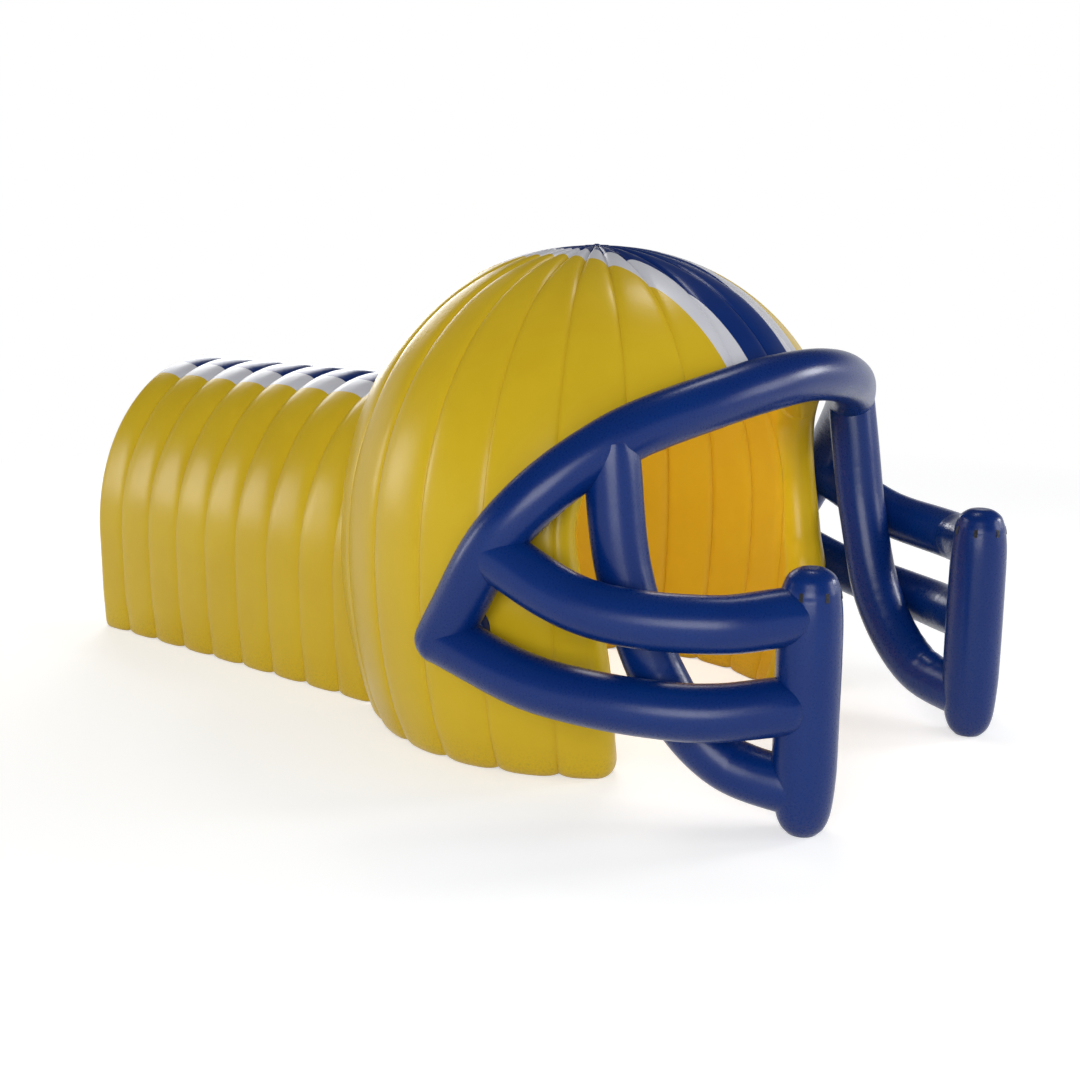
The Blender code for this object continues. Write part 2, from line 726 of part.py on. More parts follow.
def turned_at_fan(name, profile, material, steps, direction, closed=False, **place):
    """A piece of the blower turned round an axis that points in the direction."""
    obj = add_at_fan(name, profile_mesh(name, profile, closed), material, **place)
    obj.rotation_euler = Vector(direction).to_track_quat("Z", "Y").to_euler()
    return turned(obj, steps)


def tube_profile(outer, inner, far, near):
    return [(outer, far), (outer, near), (inner, near), (inner, far)]


def scroll_outline(inset, overrun):
    """The fan housing's spiral, from the tongue over the top, then the outlet at its foot."""
    points = []
    for step in range(19):
        angle = math.radians(15) * step
        radius = lerp(SCROLL_START, SCROLL_END, step / 18) - inset
        points.append((-radius * math.cos(angle), radius * math.sin(angle)))
    floor, roof = inset - SCROLL_END, OUTLET_HEIGHT - SCROLL_END - inset
    points += [(-OUTLET_REACH - overrun, floor), (-OUTLET_REACH - overrun, roof)]
    return [*points, (-OUTLET_REACH, roof)] if overrun else points


def make_housing():
    width = HOUSING_WIDTH / 2
    inside = prism_mesh(
        "housing_inside", [scroll_outline(HOUSING_WALL, OVERRUN)], 2 * (width - HOUSING_WALL), along_y()
    )
    inside = add_at_fan("housing_inside", inside, None)
    foot = FAN_AXIS_HEIGHT - SCROLL_END + HOUSING_WALL / 2
    for name, side, hole in (("inlet", 1, INLET_RADIUS), ("motor", -1, SHAFT_HOLE)):
        node = f"blower_housing_{name}_side"
        middle = along_y(side * (width + GAP / 2) / 2)
        half = prism_mesh(node, [scroll_outline(0, 0)], width - GAP / 2, middle)
        half = add_at_fan(node, half, PLASTIC)
        size = (FOOT_WIDTH, width - 2 * FOOT_INSET, foot)
        centre = (-FOOT_WIDTH / 4, side * width / 2, foot / 2 - FAN_AXIS_HEIGHT)
        fuse(half, add_at_fan(f"foot_{name}_side", box_mesh("foot", size, centre), None))
        opening = prism_mesh("opening", [circle(hole, 32)], width, along_y(side * width))
        cut(half, inside, add_at_fan(f"opening_{name}_side", opening, None))


def make_impeller():
    back, front = -FAN_WIDTH / 2, FAN_WIDTH / 2
    profile = [(0, back + HUB_LENGTH), (HUB_RADIUS, back + HUB_LENGTH), (HUB_RADIUS, back + FAN_PLATE)]
    profile += [(FAN_RADIUS, back + FAN_PLATE), (FAN_RADIUS, back), (SHAFT_RADIUS, back)]
    tip = -HOUSING_WIDTH / 2 - SHAFT_IN_MOTOR
    profile += [(SHAFT_RADIUS, tip), (0, tip)]
    impeller = turned_at_fan("impeller", profile, PLASTIC, 28, (0, 1, 0))
    root = FAN_RADIUS - BLADE_DEPTH
    ring = tube_profile(FAN_RADIUS, root - BLADE_INSET, front, front - FAN_PLATE)
    fuse(impeller, turned_at_fan("fan_ring", ring, None, 28, (0, 1, 0), closed=True))
    blades = []
    for number in range(FAN_BLADES):
        faces = ([], [])
        for share in (0, 1 / 3, 2 / 3, 1):
            turn = math.tau * number / FAN_BLADES + math.radians(BLADE_SWEEP) * share**2
            radius = lerp(root, FAN_RADIUS - BLADE_INSET, share)
            for face, side in zip(faces, (-1, 1)):
                angle = turn + side * BLADE_THICKNESS / 2 / radius
                face.append((radius * math.sin(angle), radius * math.cos(angle)))
        blades.append(faces[0] + faces[1][::-1])
    mesh = prism_mesh("fan_blades", blades, FAN_WIDTH - FAN_PLATE, along_y())
    fuse(impeller, add_at_fan("fan_blades", mesh, None))


def make_motor():
    front = -HOUSING_WIDTH / 2 - GAP
    back = front - MOTOR_LENGTH
    bore = SHAFT_RADIUS + SHAFT_CLEARANCE
    floor = -HOUSING_WIDTH / 2 - SHAFT_IN_MOTOR - SHAFT_CLEARANCE
    profile = [(0, floor), (bore, floor), (bore, front), (MOTOR_RADIUS, front)]
    pitch = (MOTOR_LENGTH - 2 * MOTOR_ROUND) / MOTOR_FINS
    for fin in range(MOTOR_FINS):
        top = front - MOTOR_ROUND - fin * pitch
        profile += [(MOTOR_RADIUS, top), (MOTOR_RADIUS - FIN_DEPTH, top - pitch * 0.2)]
        profile += [(MOTOR_RADIUS - FIN_DEPTH, top - pitch * 0.5), (MOTOR_RADIUS, top - pitch * 0.7)]
    profile += [(MOTOR_RADIUS, back + MOTOR_ROUND), (MOTOR_RADIUS - MOTOR_ROUND, back), (0, back)]
    motor = turned_at_fan("motor", profile, PLASTIC, 24, (0, 1, 0))
    middle = (front + back) / 2
    box_top = MOTOR_RADIUS + SWITCH_BOX[2] / 2
    box = box_mesh("switch_box", SWITCH_BOX)
    fuse(motor, add_at_fan("switch_box", box, None, along=middle, up=box_top - SWITCH_BOX[2] / 2))
    gland = tube_profile(GLAND_RADIUS, GLAND_BORE, GLAND_LENGTH, -GLAND_LENGTH / 2)
    place = {"along": middle - SWITCH_BOX[1] / 2, "up": MOTOR_RADIUS + GLAND_RADIUS / 2}
    gland = turned_at_fan("cord_gland", gland, None, 12, (0, -1, 0), closed=True, **place)
    pocket = prism_mesh(
        "switch_pocket", [circle(SWITCH_RADIUS + SWITCH_CLEARANCE, 32)],
        SWITCH_WIDTH + 2 * SWITCH_CLEARANCE, along_y(),
    )
    fuse(motor, gland)
    cut(motor, add_at_fan("switch_pocket", pocket, None, along=middle, up=box_top))
    angles = [math.radians(180 - SWITCH_LIFT + (180 + 2 * SWITCH_LIFT) * step / 16) for step in range(17)]
    lean = math.radians(SWITCH_TILT)
    outline = [(math.cos(angle + lean), math.sin(angle + lean)) for angle in angles]
    outline = [(SWITCH_RADIUS * across, SWITCH_RADIUS * up) for across, up in outline]
    rocker = prism_mesh("switch_rocker", [[*outline, (0, SWITCH_RADIUS / 12)]], SWITCH_WIDTH, along_y())
    add_at_fan("switch_rocker", rocker, SWITCH_RED, along=middle, up=box_top)


def make_grille():
    face = HOUSING_WIDTH / 2 + GAP
    outline = circle(INLET_RADIUS + GRILLE_LAP, 32)
    mesh = prism_mesh("inlet_grille", [outline], GRILLE_THICKNESS, along_y(face + GRILLE_THICKNESS / 2))
    grille = add_at_fan("inlet_grille", mesh, STEEL)
    slots = []
    for number in range(GRILLE_SLOTS):
        turn = math.tau * number / GRILLE_SLOTS
        out = Vector((math.cos(turn), math.sin(turn)))
        aside = Vector((-out.y, out.x))
        slots.append([
            tuple(out * GRILLE_HUB_RADIUS + aside * GRILLE_SLOT_WIDTH / 2),
            tuple(out * GRILLE_HUB_RADIUS - aside * GRILLE_SLOT_WIDTH / 2),
            tuple(out * GRILLE_SLOT_END - aside * GRILLE_SLOT_WIDTH * 1.5),
            tuple(out * GRILLE_SLOT_END + aside * GRILLE_SLOT_WIDTH * 1.5),
        ])
    slots = prism_mesh("grille_slots", slots, 4 * GRILLE_THICKNESS, along_y(face))
    cut(grille, add_at_fan("grille_slots", slots, None))


def make_sleeve():
    """Spigot on the blower's outlet, the sleeve strapped to it and sewn to the last rib."""
    place = {"across": -OUTLET_REACH - GAP, "up": OUTLET_HEIGHT / 2 - SCROLL_END}
    flange = box_mesh("flange", (SPIGOT_WALL, SPIGOT_FLANGE, SPIGOT_FLANGE), (-SPIGOT_WALL / 2, 0, 0))
    spigot = add_at_fan("outlet_spigot", flange, PLASTIC, **place)
    way = (-1, 0, 0)
    pipe = [(0, SPIGOT_LENGTH), (SPIGOT_RADIUS, SPIGOT_LENGTH)]
    pipe += [(SPIGOT_RADIUS, SPIGOT_WALL / 2), (0, SPIGOT_WALL / 2)]
    fuse(spigot, turned_at_fan("spigot_pipe", pipe, None, 24, way, **place))
    bore = SPIGOT_RADIUS - SPIGOT_WALL
    hole = [(0, OVERRUN), (bore, OVERRUN), (bore, -OVERRUN), (0, -OVERRUN)]
    cut(spigot, turned_at_fan("spigot_bore", hole, None, 24, way, **place))
    neck = SPIGOT_RADIUS + GAP
    end = BLOWER_OFFSET - OUTLET_REACH - TUNNEL_HALF_WIDTH + RIB_WALL / 2
    wide = SLEEVE_NECK + SLEEVE_RADIUS / 2
    start = SPIGOT_WALL * 4
    outer = [(SLEEVE_RADIUS, end), (SLEEVE_RADIUS, wide), (neck + SLEEVE_WALL, SLEEVE_NECK)]
    inner = [(neck, SLEEVE_NECK), (SLEEVE_RADIUS - SLEEVE_WALL, wide), (SLEEVE_RADIUS - SLEEVE_WALL, end)]
    profile = [*outer, (neck + SLEEVE_WALL, start), (neck, start), *inner]
    sleeve = turned_at_fan("inflation_sleeve", profile, YELLOW, 24, way, closed=True, **place)
    last = rib_mesh("around_last_rib", RIB_COUNT - 1, GAP)
    cut(sleeve, add_cutter("around_last_rib", last))
    inside = neck + SLEEVE_WALL + GAP
    far, near = STRAP_PLACE + STRAP_WIDTH / 2, STRAP_PLACE - STRAP_WIDTH / 2
    band = tube_profile(inside + STRAP_THICKNESS, inside, far, near)
    strap = turned_at_fan("sleeve_strap", band, WEBBING, 24, way, closed=True, **place)
    on_strap = inside + STRAP_THICKNESS / 2 + BUCKLE_SIZE[2] / 2
    buckle = box_mesh("buckle", BUCKLE_SIZE, (-STRAP_PLACE, 0, on_strap))
    fuse(strap, add_at_fan("buckle", buckle, None, **place))


def rear_box(name, size, up, out=0):
    """A block on the rear face at the middle of the far wall, this far above its foot and out."""
    return box_mesh(name, size, (0, out + size[1] / 2, up + size[2] / 2))


def make_zip():
    place = (WALL_MIDDLE, REAR_FACE, ZIP_FOOT)
    tape = add("zip_tape", rear_box("zip_tape", (ZIP_WIDTH, ZIP_THICKNESS, ZIP_LENGTH), 0), WEBBING, place)
    sunk = ZIP_THICKNESS / 2
    end = STOP_SIZE[2] / 2
    coil = rear_box("coil", (COIL_WIDTH, sunk + COIL_HEIGHT, ZIP_LENGTH - 2 * end), end, sunk)
    fuse(tape, add_cutter("zip_coil", coil, place))
    for name, up in (("lower_stop", end / 2), ("upper_stop", ZIP_LENGTH - end / 2 - STOP_SIZE[2])):
        stop = rear_box(name, (STOP_SIZE[0], sunk + STOP_SIZE[1], STOP_SIZE[2]), up, sunk)
        fuse(tape, add_cutter(name, stop, place))
    rest = end / 2 + STOP_SIZE[2] + SLIDE_CLEARANCE
    ride = ZIP_THICKNESS + SLIDE_CLEARANCE
    slider = add("zip_slider", rear_box("zip_slider", SLIDER_SIZE, rest, ride), STEEL, place)
    channel = (COIL_WIDTH + 2 * SLIDE_CLEARANCE, COIL_HEIGHT + SLIDE_CLEARANCE, SLIDER_SIZE[2] * 2)
    channel = rear_box("channel", channel, rest - SLIDER_SIZE[2] / 2, ZIP_THICKNESS)
    cut(slider, add_cutter("slider_channel", channel, place))
    hang = rest + SLIDER_SIZE[2] / 2 - PULL_SIZE[2]
    pull = rear_box("pull", PULL_SIZE, hang, ride + SLIDER_SIZE[1] - PULL_SIZE[1] / 2)
    fuse(slider, add_cutter("slider_pull", pull, place))


def d_ring_mesh(name):
    """Wire bent to a D that hangs from its straight bar."""
    count, sides = 14, 8
    turns = [math.pi * step / count for step in range(count + 1)]
    path = [Vector((RING_HALF_WIDTH * math.cos(turn), 0, -RING_DROP * math.sin(turn))) for turn in turns]

    def build(bm):
        rings = []
        for here, point in enumerate(path):
            ahead = (path[(here + 1) % len(path)] - point).normalized()
            behind = (point - path[here - 1]).normalized()
            along = (ahead + behind).normalized()
            mitre = along.cross(Vector((0, 1, 0))) / along.dot(ahead)
            ring = []
            for side in range(sides):
                angle = math.tau * side / sides
                wire = mitre * math.cos(angle) + Vector((0, math.sin(angle), 0))
                ring.append(bm.verts.new(point + wire * RING_WIRE))
            rings.append(ring)
        for here, ring in enumerate(rings):
            other = rings[(here + 1) % len(rings)]
            for side in range(sides):
                after = (side + 1) % sides
                bm.faces.new((ring[side], ring[after], other[after], other[side]))

    return mesh_from(name, build)


def make_rings():
    """A webbing tab and its ring at each foot of the rear face, for guy lines."""
    out = TAB_CLEARANCE + LOOP_RADIUS
    for name, side in (("left", 1), ("right", -1)):
        place = (side * WALL_MIDDLE, REAR_FACE, RING_HEIGHT)
        bar = (side * WALL_MIDDLE, REAR_FACE + out, RING_HEIGHT)
        tab = rear_box("tab", (TAB_WIDTH, TAB_THICKNESS, TAB_LENGTH), 0)
        tab = add(f"webbing_tab_{name}", tab, WEBBING, place)

        def to_point(first, second, along):
            return along, first, second

        loop = prism_mesh("loop", [circle(LOOP_RADIUS, 16)], TAB_WIDTH - TAB_CLEARANCE, to_point)
        fuse(tab, add_cutter(f"loop_{name}", loop, bar))
        bore = prism_mesh("loop_bore", [circle(RING_WIRE + TAB_CLEARANCE, 16)], 2 * TAB_WIDTH, to_point)
        cut(tab, add_cutter(f"loop_bore_{name}", bore, bar))
        add(f"d_ring_{name}", d_ring_mesh("d_ring"), STEEL, bar)


make_dome()
make_tunnel()
make_mask()
make_housing()
make_impeller()
make_motor()
make_grille()
make_sleeve()
make_zip()
make_rings()
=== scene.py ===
"""Looks of the inflatable helmet tunnel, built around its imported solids.

The helmet faces -Y, the tunnel runs to +Y and everything stands on Z = 0. Every air chamber gets
a finer skin than its solid has, with the puckers that sewn and inflated cloth shows."""

import json
import math

import bmesh
import bpy
import numpy as np
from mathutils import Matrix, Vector


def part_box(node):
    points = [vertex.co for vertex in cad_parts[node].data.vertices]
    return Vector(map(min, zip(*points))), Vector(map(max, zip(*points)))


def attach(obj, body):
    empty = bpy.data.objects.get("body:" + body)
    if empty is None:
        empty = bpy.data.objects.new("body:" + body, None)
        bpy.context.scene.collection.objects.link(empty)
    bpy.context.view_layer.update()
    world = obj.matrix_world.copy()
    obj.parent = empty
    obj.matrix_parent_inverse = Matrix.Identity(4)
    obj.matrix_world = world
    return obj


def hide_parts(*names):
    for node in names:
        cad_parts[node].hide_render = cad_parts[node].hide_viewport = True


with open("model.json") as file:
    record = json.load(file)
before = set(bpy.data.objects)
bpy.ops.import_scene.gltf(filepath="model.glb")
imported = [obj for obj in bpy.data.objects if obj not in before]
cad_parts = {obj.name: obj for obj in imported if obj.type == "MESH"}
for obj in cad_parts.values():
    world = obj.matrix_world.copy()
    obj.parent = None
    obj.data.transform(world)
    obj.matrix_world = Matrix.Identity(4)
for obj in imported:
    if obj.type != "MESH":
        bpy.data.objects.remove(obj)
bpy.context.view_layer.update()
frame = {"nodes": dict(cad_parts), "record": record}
NODES = frame["nodes"]

# Dome, as its solids are
GORE_COUNT = 24
DOME_RADIUS = 2.01
DOME_HEIGHT = 3.66
WAIST_HEIGHT = 1.33
ROOT_DEPTH = 2.90
CROWN_RADIUS = 0.08
GORE_WALL = 0.27
GORE_CREST = 0.040
SIDE_POWER = 0.952
RISE_POWER = 0.909
FRONT_SWELL_SHARE = 0.02
FACE_HEIGHT = 2.70
FACE_EDGE_SHARES = (
    (46, 0), (49, 0.36), (53.5, 0.49), (56, 0.67), (53, 0.80), (44, 0.885), (24, 0.965), (0, 1),
)
EDGE_ROUND = 0.17
EDGE_FLAT_SHARE = 0.10
RIM_WIDTH = 0.15
GROUND_ROUND = 0.09
GROUND_FLAT_SHARE = 0.75
REAR_GORE_FOOT = 1.05
CROWN_RINGS = (0.10, 0.086, 0.068, 0.05, 0.034, 0.022, 0.012, 0.002)
CROWN_FOLD = 0.006
CROWN_FOLD_START = 0.05
CROWN_TIE = 0.010
CROWN_TIE_RADIUS = 0.012
CROWN_TIE_WIDTH = 0.010
CROWN_HEM = 0.004
CROWN_HEM_RADIUS = 0.09
CROWN_FLAT_RADIUS = 0.03

# Tunnel
RIB_COUNT = 9
TUNNEL_START = 1.31
TUNNEL_LENGTH = 3.75
TUNNEL_HALF_WIDTH = 1.27
TUNNEL_HEIGHT = 2.525
LEG_HEIGHT = 0.90
RIB_WALL = 0.22
RIB_CREST = 0.035
RIB_END_ROUND = 0.11
RIB_END_FLAT_SHARE = 0.15

# Inflated cloth
# Falls are how far the outer crest falls to its seams and by what power, on the side, at the top
# and at the foot. Gathers are on the side and at the top. The other pairs are outer, then inner.
GORE_CLOTH = {
    "wall": GORE_WALL, "crests": (GORE_CREST, 0.035), "falls": ((0.34, 5.0), (1.55, 2.6), (0.8, 2.6)),
    "inner_fall": 0.75, "gathers": (0.45, 1.4), "grooves": (1, 1.4), "seeds": (0, 40),
}
RIB_CLOTH = {
    "wall": RIB_WALL, "crests": (RIB_CREST, 0.030), "falls": ((0.30, 3.6), (0.92, 2.7), (0.95, 2.4)),
    "inner_fall": 0.8, "gathers": (0.6, 1.5), "grooves": (0.6, 1.2), "seeds": (90, 130),
}
NEAR_CROWN = (0.12, 0.60)
GORE_FOOT_REACH = 0.35
ROOF_HEIGHTS = (1.3, 2.2)
RIB_FOOT_HEIGHTS = (0.05, 0.45)
SCALLOP_REACH = 0.3
SCALLOP_POWER = 5
FOOT_LIFT = 0.020
FOOT_CORNER = 0.13
PUCKER_DEPTH = 0.0035
PUCKER_REACH = 0.05
PUCKER_LENGTH = 0.075
SEAM_GROOVE = 0.006
SEAM_REACH = 0.012
WAVE_DEPTH = 0.005
WAVE_LENGTH = 0.55

# Printed stripes, measured from the middle of the helmet
BLUE_STRIPE = 0.285
WHITE_STRIPE = 0.495
PRINT_ARCH = 0.014
PRINT_STEP = 0.016

# How finely the skins are drawn
CHAMBER_COLUMNS = 27
FACE_GORE_ROWS = 120
SIDE_GORE_ROWS = 190
RIB_STEPS = 160
FOOT_HEIGHTS = (0, 0.004, 0.012, 0.025, 0.045, 0.067)
TUBE_SIDES = 72
PATH_STEPS = 16
SHARP_DEGREES = 50

# Face mask
MASK_HALF_WIDTH = 2.19
POST_HALF_SPREAD = 1.235
POST_REACH = 2.68
POST_RADIUS = 0.2075
POST_HEIGHT = 1.75
BROW_HEIGHT = 2.78
BAR_RADIUS = 0.187
MID_BAR_HEIGHT = 1.46
JAW_BAR_HEIGHT = 0.87
DROP_BAR_HEIGHT = 0.28
POST_SHARES = (
    (0.48, 0), (0.70, 0.030), (0.86, 0.085), (0.96, 0.19), (1, 0.33), (1, 0.75),
    (0.92, 0.895), (0.81, 0.947), (0.68, 0.976), (0.38, 0.998), (0, 1),
)
BROW_SHARES = (
    (1, 0.1987, 0.392), (0.95, 0.4573, 0.694), (0.7215, 0.6813, 0.878), (0.388, 0.8507, 0.966),
    (0, 0.9155, 1),
)
MID_BAR_SHARES = ((0.927, 0.567, 0.525), (0.785, 0.840, 0.507))
JAW_BAR_SHARES = ((0.950, 0.448, 0.317), (0.813, 0.776, 0.295))
DROP_BAR_SHARES = ((0.731, 0.560, 0.576), (0.686, 0.652, 0.310), (0.632, 0.800, 0.148))
MID_BAR_START_SHARE = 0.75
MID_BAR_PROUD = 0.022
JAW_BAR_PROUD = 0.055
DROP_BAR_PROUD = 0.014
NOSE_LENGTH = 0.15
NOSE_START = 0.10
TUBE_END_DEGREES = (8, 16, 24, 32, 40, 48, 56, 64, 72, 80, 87)
TUBE_WAVE = 0.004
TUBE_WAVE_LENGTH = 0.4
BEND_CREASE = 0.007
BEND_CREASE_LENGTH = 0.05
END_FOLD = 0.009
POST_WAVE = 0.003
POST_FOLD = 0.005
POST_SEAM = 0.0035
POST_SEAM_REACH = 0.006
PAD_FOLD = 0.010
CAP_SEAM_HEIGHT = 1.585
VENT_COUNT = 7
VENT_SIZE = (0.028, 0.056)
VENT_LIFT = 0.012
VENT_SHEETS = (0.003, -0.004)
VENT_START_DEGREES = {"right": -118, "left": 298}
EAR_BOSS_RADIUS = 0.17
EAR_BOSS_PROUD = 0.09
EAR_BOSS_DEGREES = 77.5
EAR_BOSS_HEIGHT = 1.12

# Blower and its sleeve
BLOWER_OFFSET = 2.02
FAN_AXIS_HEIGHT = 0.235
SCROLL_START = 0.135
SCROLL_END = 0.195
SCROLL_DEGREES = 270
SCROLL_LIP = (
    (0, -0.0035), (0, 0.0055), (0.0015, 0.0068), (0.0045, 0.0068), (0.0060, 0.0055), (0.0065, 0.0018),
)
JOINT_LIP = ((-0.0050, 0.0018), (-0.0045, 0.0058), (-0.0012, 0.0066), (-0.0005, 0.0050))
STAND_PLATE = (0.304, 0.043)
STAND_OFFSET = -0.075
STAND_INSET = 0.018
STAND_PAD = (0.036, 0.008, 0.012)
PAD_OFFSETS = (-0.205, 0.055)
MOTOR_LENGTH = 0.13
MOTOR_ROUND = 0.015
MOTOR_FINS = 5
CAN_RADIUS = 0.0688
CAN_BORE = 0.045
CAN_BORE_DEPTH = 0.118
CAN_LIP = 0.012
CAN_OVER = 0.0008
FIN_FOOT = 0.0650
FIN_TOP = 0.0690
FIN_SHARES = ((0, FIN_FOOT), (0.42, FIN_FOOT), (0.46, FIN_TOP), (0.96, FIN_TOP))
FAN_COVER = ((0.0008, 0.048), (-0.0004, 0.046), (0.0006, 0.030), (0.0012, 0.002))
# Angles, inset and radius of the screws in the housing's sides and in the inlet guard
HOUSING_SCREWS = ((20, 65, 110, 155, 200), 0.012, 0.0045)
GUARD_SCREWS = ((45, 135, 225, 315), 0.007, 0.0040)
SCREW_PROFILE = (
    (1, -0.4, False), (1, 0.35, False), (0.92, 0.55, False), (0.7, 0.66, False), (0.48, 0.66, True),
    (0.44, 0.1, True),
)
SLEEVE_NECK_LENGTH = 0.085
SLEEVE_FLARE = 0.021
SLEEVE_TUCK = 0.01
SLEEVE_SLACK = 0.004
SLEEVE_FOLD = 0.008
SLEEVE_CREASE = 0.004
SLEEVE_WAVE = 0.003

# Strap, zip and tabs
STRAP_PROFILE = (
    (-0.5, -0.003), (-0.5, -0.0005), (-0.46, 0), (0, 0.0005), (0.46, 0), (0.5, -0.0005), (0.5, -0.003),
)
BUCKLE_HALF = 0.013
BUCKLE_POST = (0.030, 0.005)
BUCKLE_TOP = (0.034, 0.034, 0.004)
BUCKLE_BAR = (0.020, 0.022, 0.003)
TAIL_PIECE = (0.022, 0.009, 0.0018)
TAIL_PIECES = 5
ZIP_SHEETS = ((0.0, 0.0), (0.0016, 0.0), (0.0020, 0.0008))
ZIP_SEAM = 0.0155
TOOTH_PITCH = 0.0042
TOOTH_SIZE = (0.0040, 0.0030, 0.0026)
TOOTH_SIDEWAYS = 0.0012
TOOTH_OUT = 0.0032
ZIP_END = 0.015
STOP_SIZE = (0.013, 0.0042, 0.007)
STITCH_PITCH = 0.006
STITCH_SIZE = (0.0008, 0.0008, 0.0038)
RING_WIRE = 0.0035
TAB_THICK = 0.0022
TAB_EDGES = ((-0.5, 0.0004), (-0.47, 0), (0.47, 0), (0.5, 0.0004))
TAB_STITCHES = 9
THREAD = 0.0009

GORE_STEP = math.tau / GORE_COUNT
GORES_A_SIDE = GORE_COUNT // 2
RIB_PITCH = TUNNEL_LENGTH / RIB_COUNT
SHIFT = (sum(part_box("crown_plug"), Vector()) / 2).y
CROWN_ANGLE = math.acos((CROWN_RADIUS / DOME_RADIUS) ** (1 / SIDE_POWER))


# Smooth noise

def smooth_share(share):
    return share * share * (3 - 2 * share)


def smooth_step(value, start, end):
    return smooth_share(np.clip((value - start) / (end - start), 0, 1))


def lerp(start, end, share):
    return start + (end - start) * share


def hashed(cell, seed):
    """A repeatable number from 0 to 1 for each whole number."""
    wave = np.sin(cell * 127.1 + seed * 311.7) * 43758.5453
    return wave - np.floor(wave)


def ripple(place, seed, count=None):
    """Smooth noise along a line, from 0 to 1, which comes round again after count cells."""
    cell = np.floor(place)
    share = smooth_share(place - cell)
    after = cell + 1
    if count:
        cell, after = cell % count, after % count
    return hashed(cell, seed) * (1 - share) + hashed(after, seed) * share


def ring_folds(turn, count, seed, faded):
    """Depth of this many folds round a circle, from 0 to 1 where they haven't faded."""
    return ripple(turn / math.tau * count, seed, count) * faded


def waves(first, second, seed):
    """Smooth noise over a surface, about -1 to 1."""
    cell = np.floor(second)
    share = smooth_share(second - cell)
    low = ripple(first + cell * 0.37, seed + cell * 5.3)
    high = ripple(first + (cell + 1) * 0.37, seed + (cell + 1) * 5.3)
    return 2 * lerp(low, high, share) - 1


# Points and meshes

def to_points(x, y, z):
    """Points with these coordinates, each of them a number or an array."""
    return np.stack(np.broadcast_arrays(x, y, z), -1)


def circle(count):
    return np.linspace(0, math.tau, count, endpoint=False)


def round_points(radius, turn, level):
    """Points round the Z axis."""
    return to_points(radius * np.cos(turn), radius * np.sin(turn), level)


def box_of(name):
    """Lowest corner, highest corner and middle of a solid's box."""
    low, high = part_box(name)
    return low, high, (low + high) / 2


def lengths(path):
    """The distance along a path at each of its points."""
    return np.concatenate(([0], np.cumsum(np.linalg.norm(np.diff(path, axis=0), axis=1))))


def facing(way):
    """Matrix that turns rows of points from +Z to face this way."""
    return np.array(Vector(way).to_track_quat("Z", "Y").to_matrix()).T


def smooth_path(points, steps):
    """A smooth curve through the points, with this many steps to each stretch."""
    points = [np.array(point, float) for point in points]
    run = [points[0] * 2 - points[1], *points, points[-1] * 2 - points[-2]]
    path = []
    for before, start, end, after in zip(run, run[1:], run[2:], run[3:]):
        bend = 2 * before - 5 * start + 4 * end - after
        twist = 3 * start - before - 3 * end + after
        for t in np.arange(steps) / steps:
            path.append((2 * start + (end - before) * t + bend * t**2 + twist * t**3) / 2)
    return np.array([*path, points[-1]])


def turned_outward(mesh, fill_ends=False):
    """Makes every face look outward, and first closes the open ends where asked."""
    bm = bmesh.new()
    bm.from_mesh(mesh)
    if fill_ends:
        bmesh.ops.holes_fill(bm, edges=bm.edges)
    bmesh.ops.recalc_face_normals(bm, faces=bm.faces)
    bm.to_mesh(mesh)
    bm.free()
    return mesh


def shaded(mesh, sharp_degrees=SHARP_DEGREES):
    """Smooth shading, but for edges sharper than this."""
    mesh.shade_smooth()
    mesh.set_sharp_from_angle(angle=math.radians(sharp_degrees))
    return mesh


def grid_mesh(grid, caps=False, inner_from=None, rim=None, marks=None):
    """A mesh over rows of points, each row closed round. Caps join the facing points of the first
    and the last row. Faces from column inner_from on get the second material, but not where rim
    says so. Marks are values kept on the points for the materials."""
    grid = np.array(grid)
    rows, columns = grid.shape[:2]
    faces, inside = [], []
    for row in range(rows - 1):
        start = row * columns
        for column in range(columns):
            after = (column + 1) % columns
            faces.append((start + column, start + after, start + columns + after, start + columns + column))
            lined = inner_from is not None and column >= inner_from - 1
            inside.append(lined and not (rim is not None and rim[row, column] and rim[row + 1, after]))
    for base in (0, (rows - 1) * columns) if caps else ():
        for column in range(columns // 2 - 1):
            back = columns - 1 - column
            faces.append((base + column, base + column + 1, base + back - 1, base + back))
            inside.append(False)
    mesh = bpy.data.meshes.new("skin")
    mesh.from_pydata([tuple(point) for point in grid.reshape(-1, 3)], [], faces)
    mesh.polygons.foreach_set("material_index", np.array(inside, dtype=np.int32))
    for label, values in (marks or {}).items():
        mesh.attributes.new(label, "FLOAT", "POINT").data.foreach_set("value", values.ravel())
    return shaded(turned_outward(mesh))


def closed_skin(rings, sharp_degrees=SHARP_DEGREES):
    """A mesh over rings of points, with its two ends filled."""
    return shaded(turned_outward(grid_mesh(rings), fill_ends=True), sharp_degrees)


def one_mesh(parts):
    """Joins meshes into one."""
    bm = bmesh.new()
    for part in parts:
        bm.from_mesh(part)
        bpy.data.meshes.remove(part)
    mesh = bpy.data.meshes.new("joined")
    bm.to_mesh(mesh)
    bm.free()
    return mesh


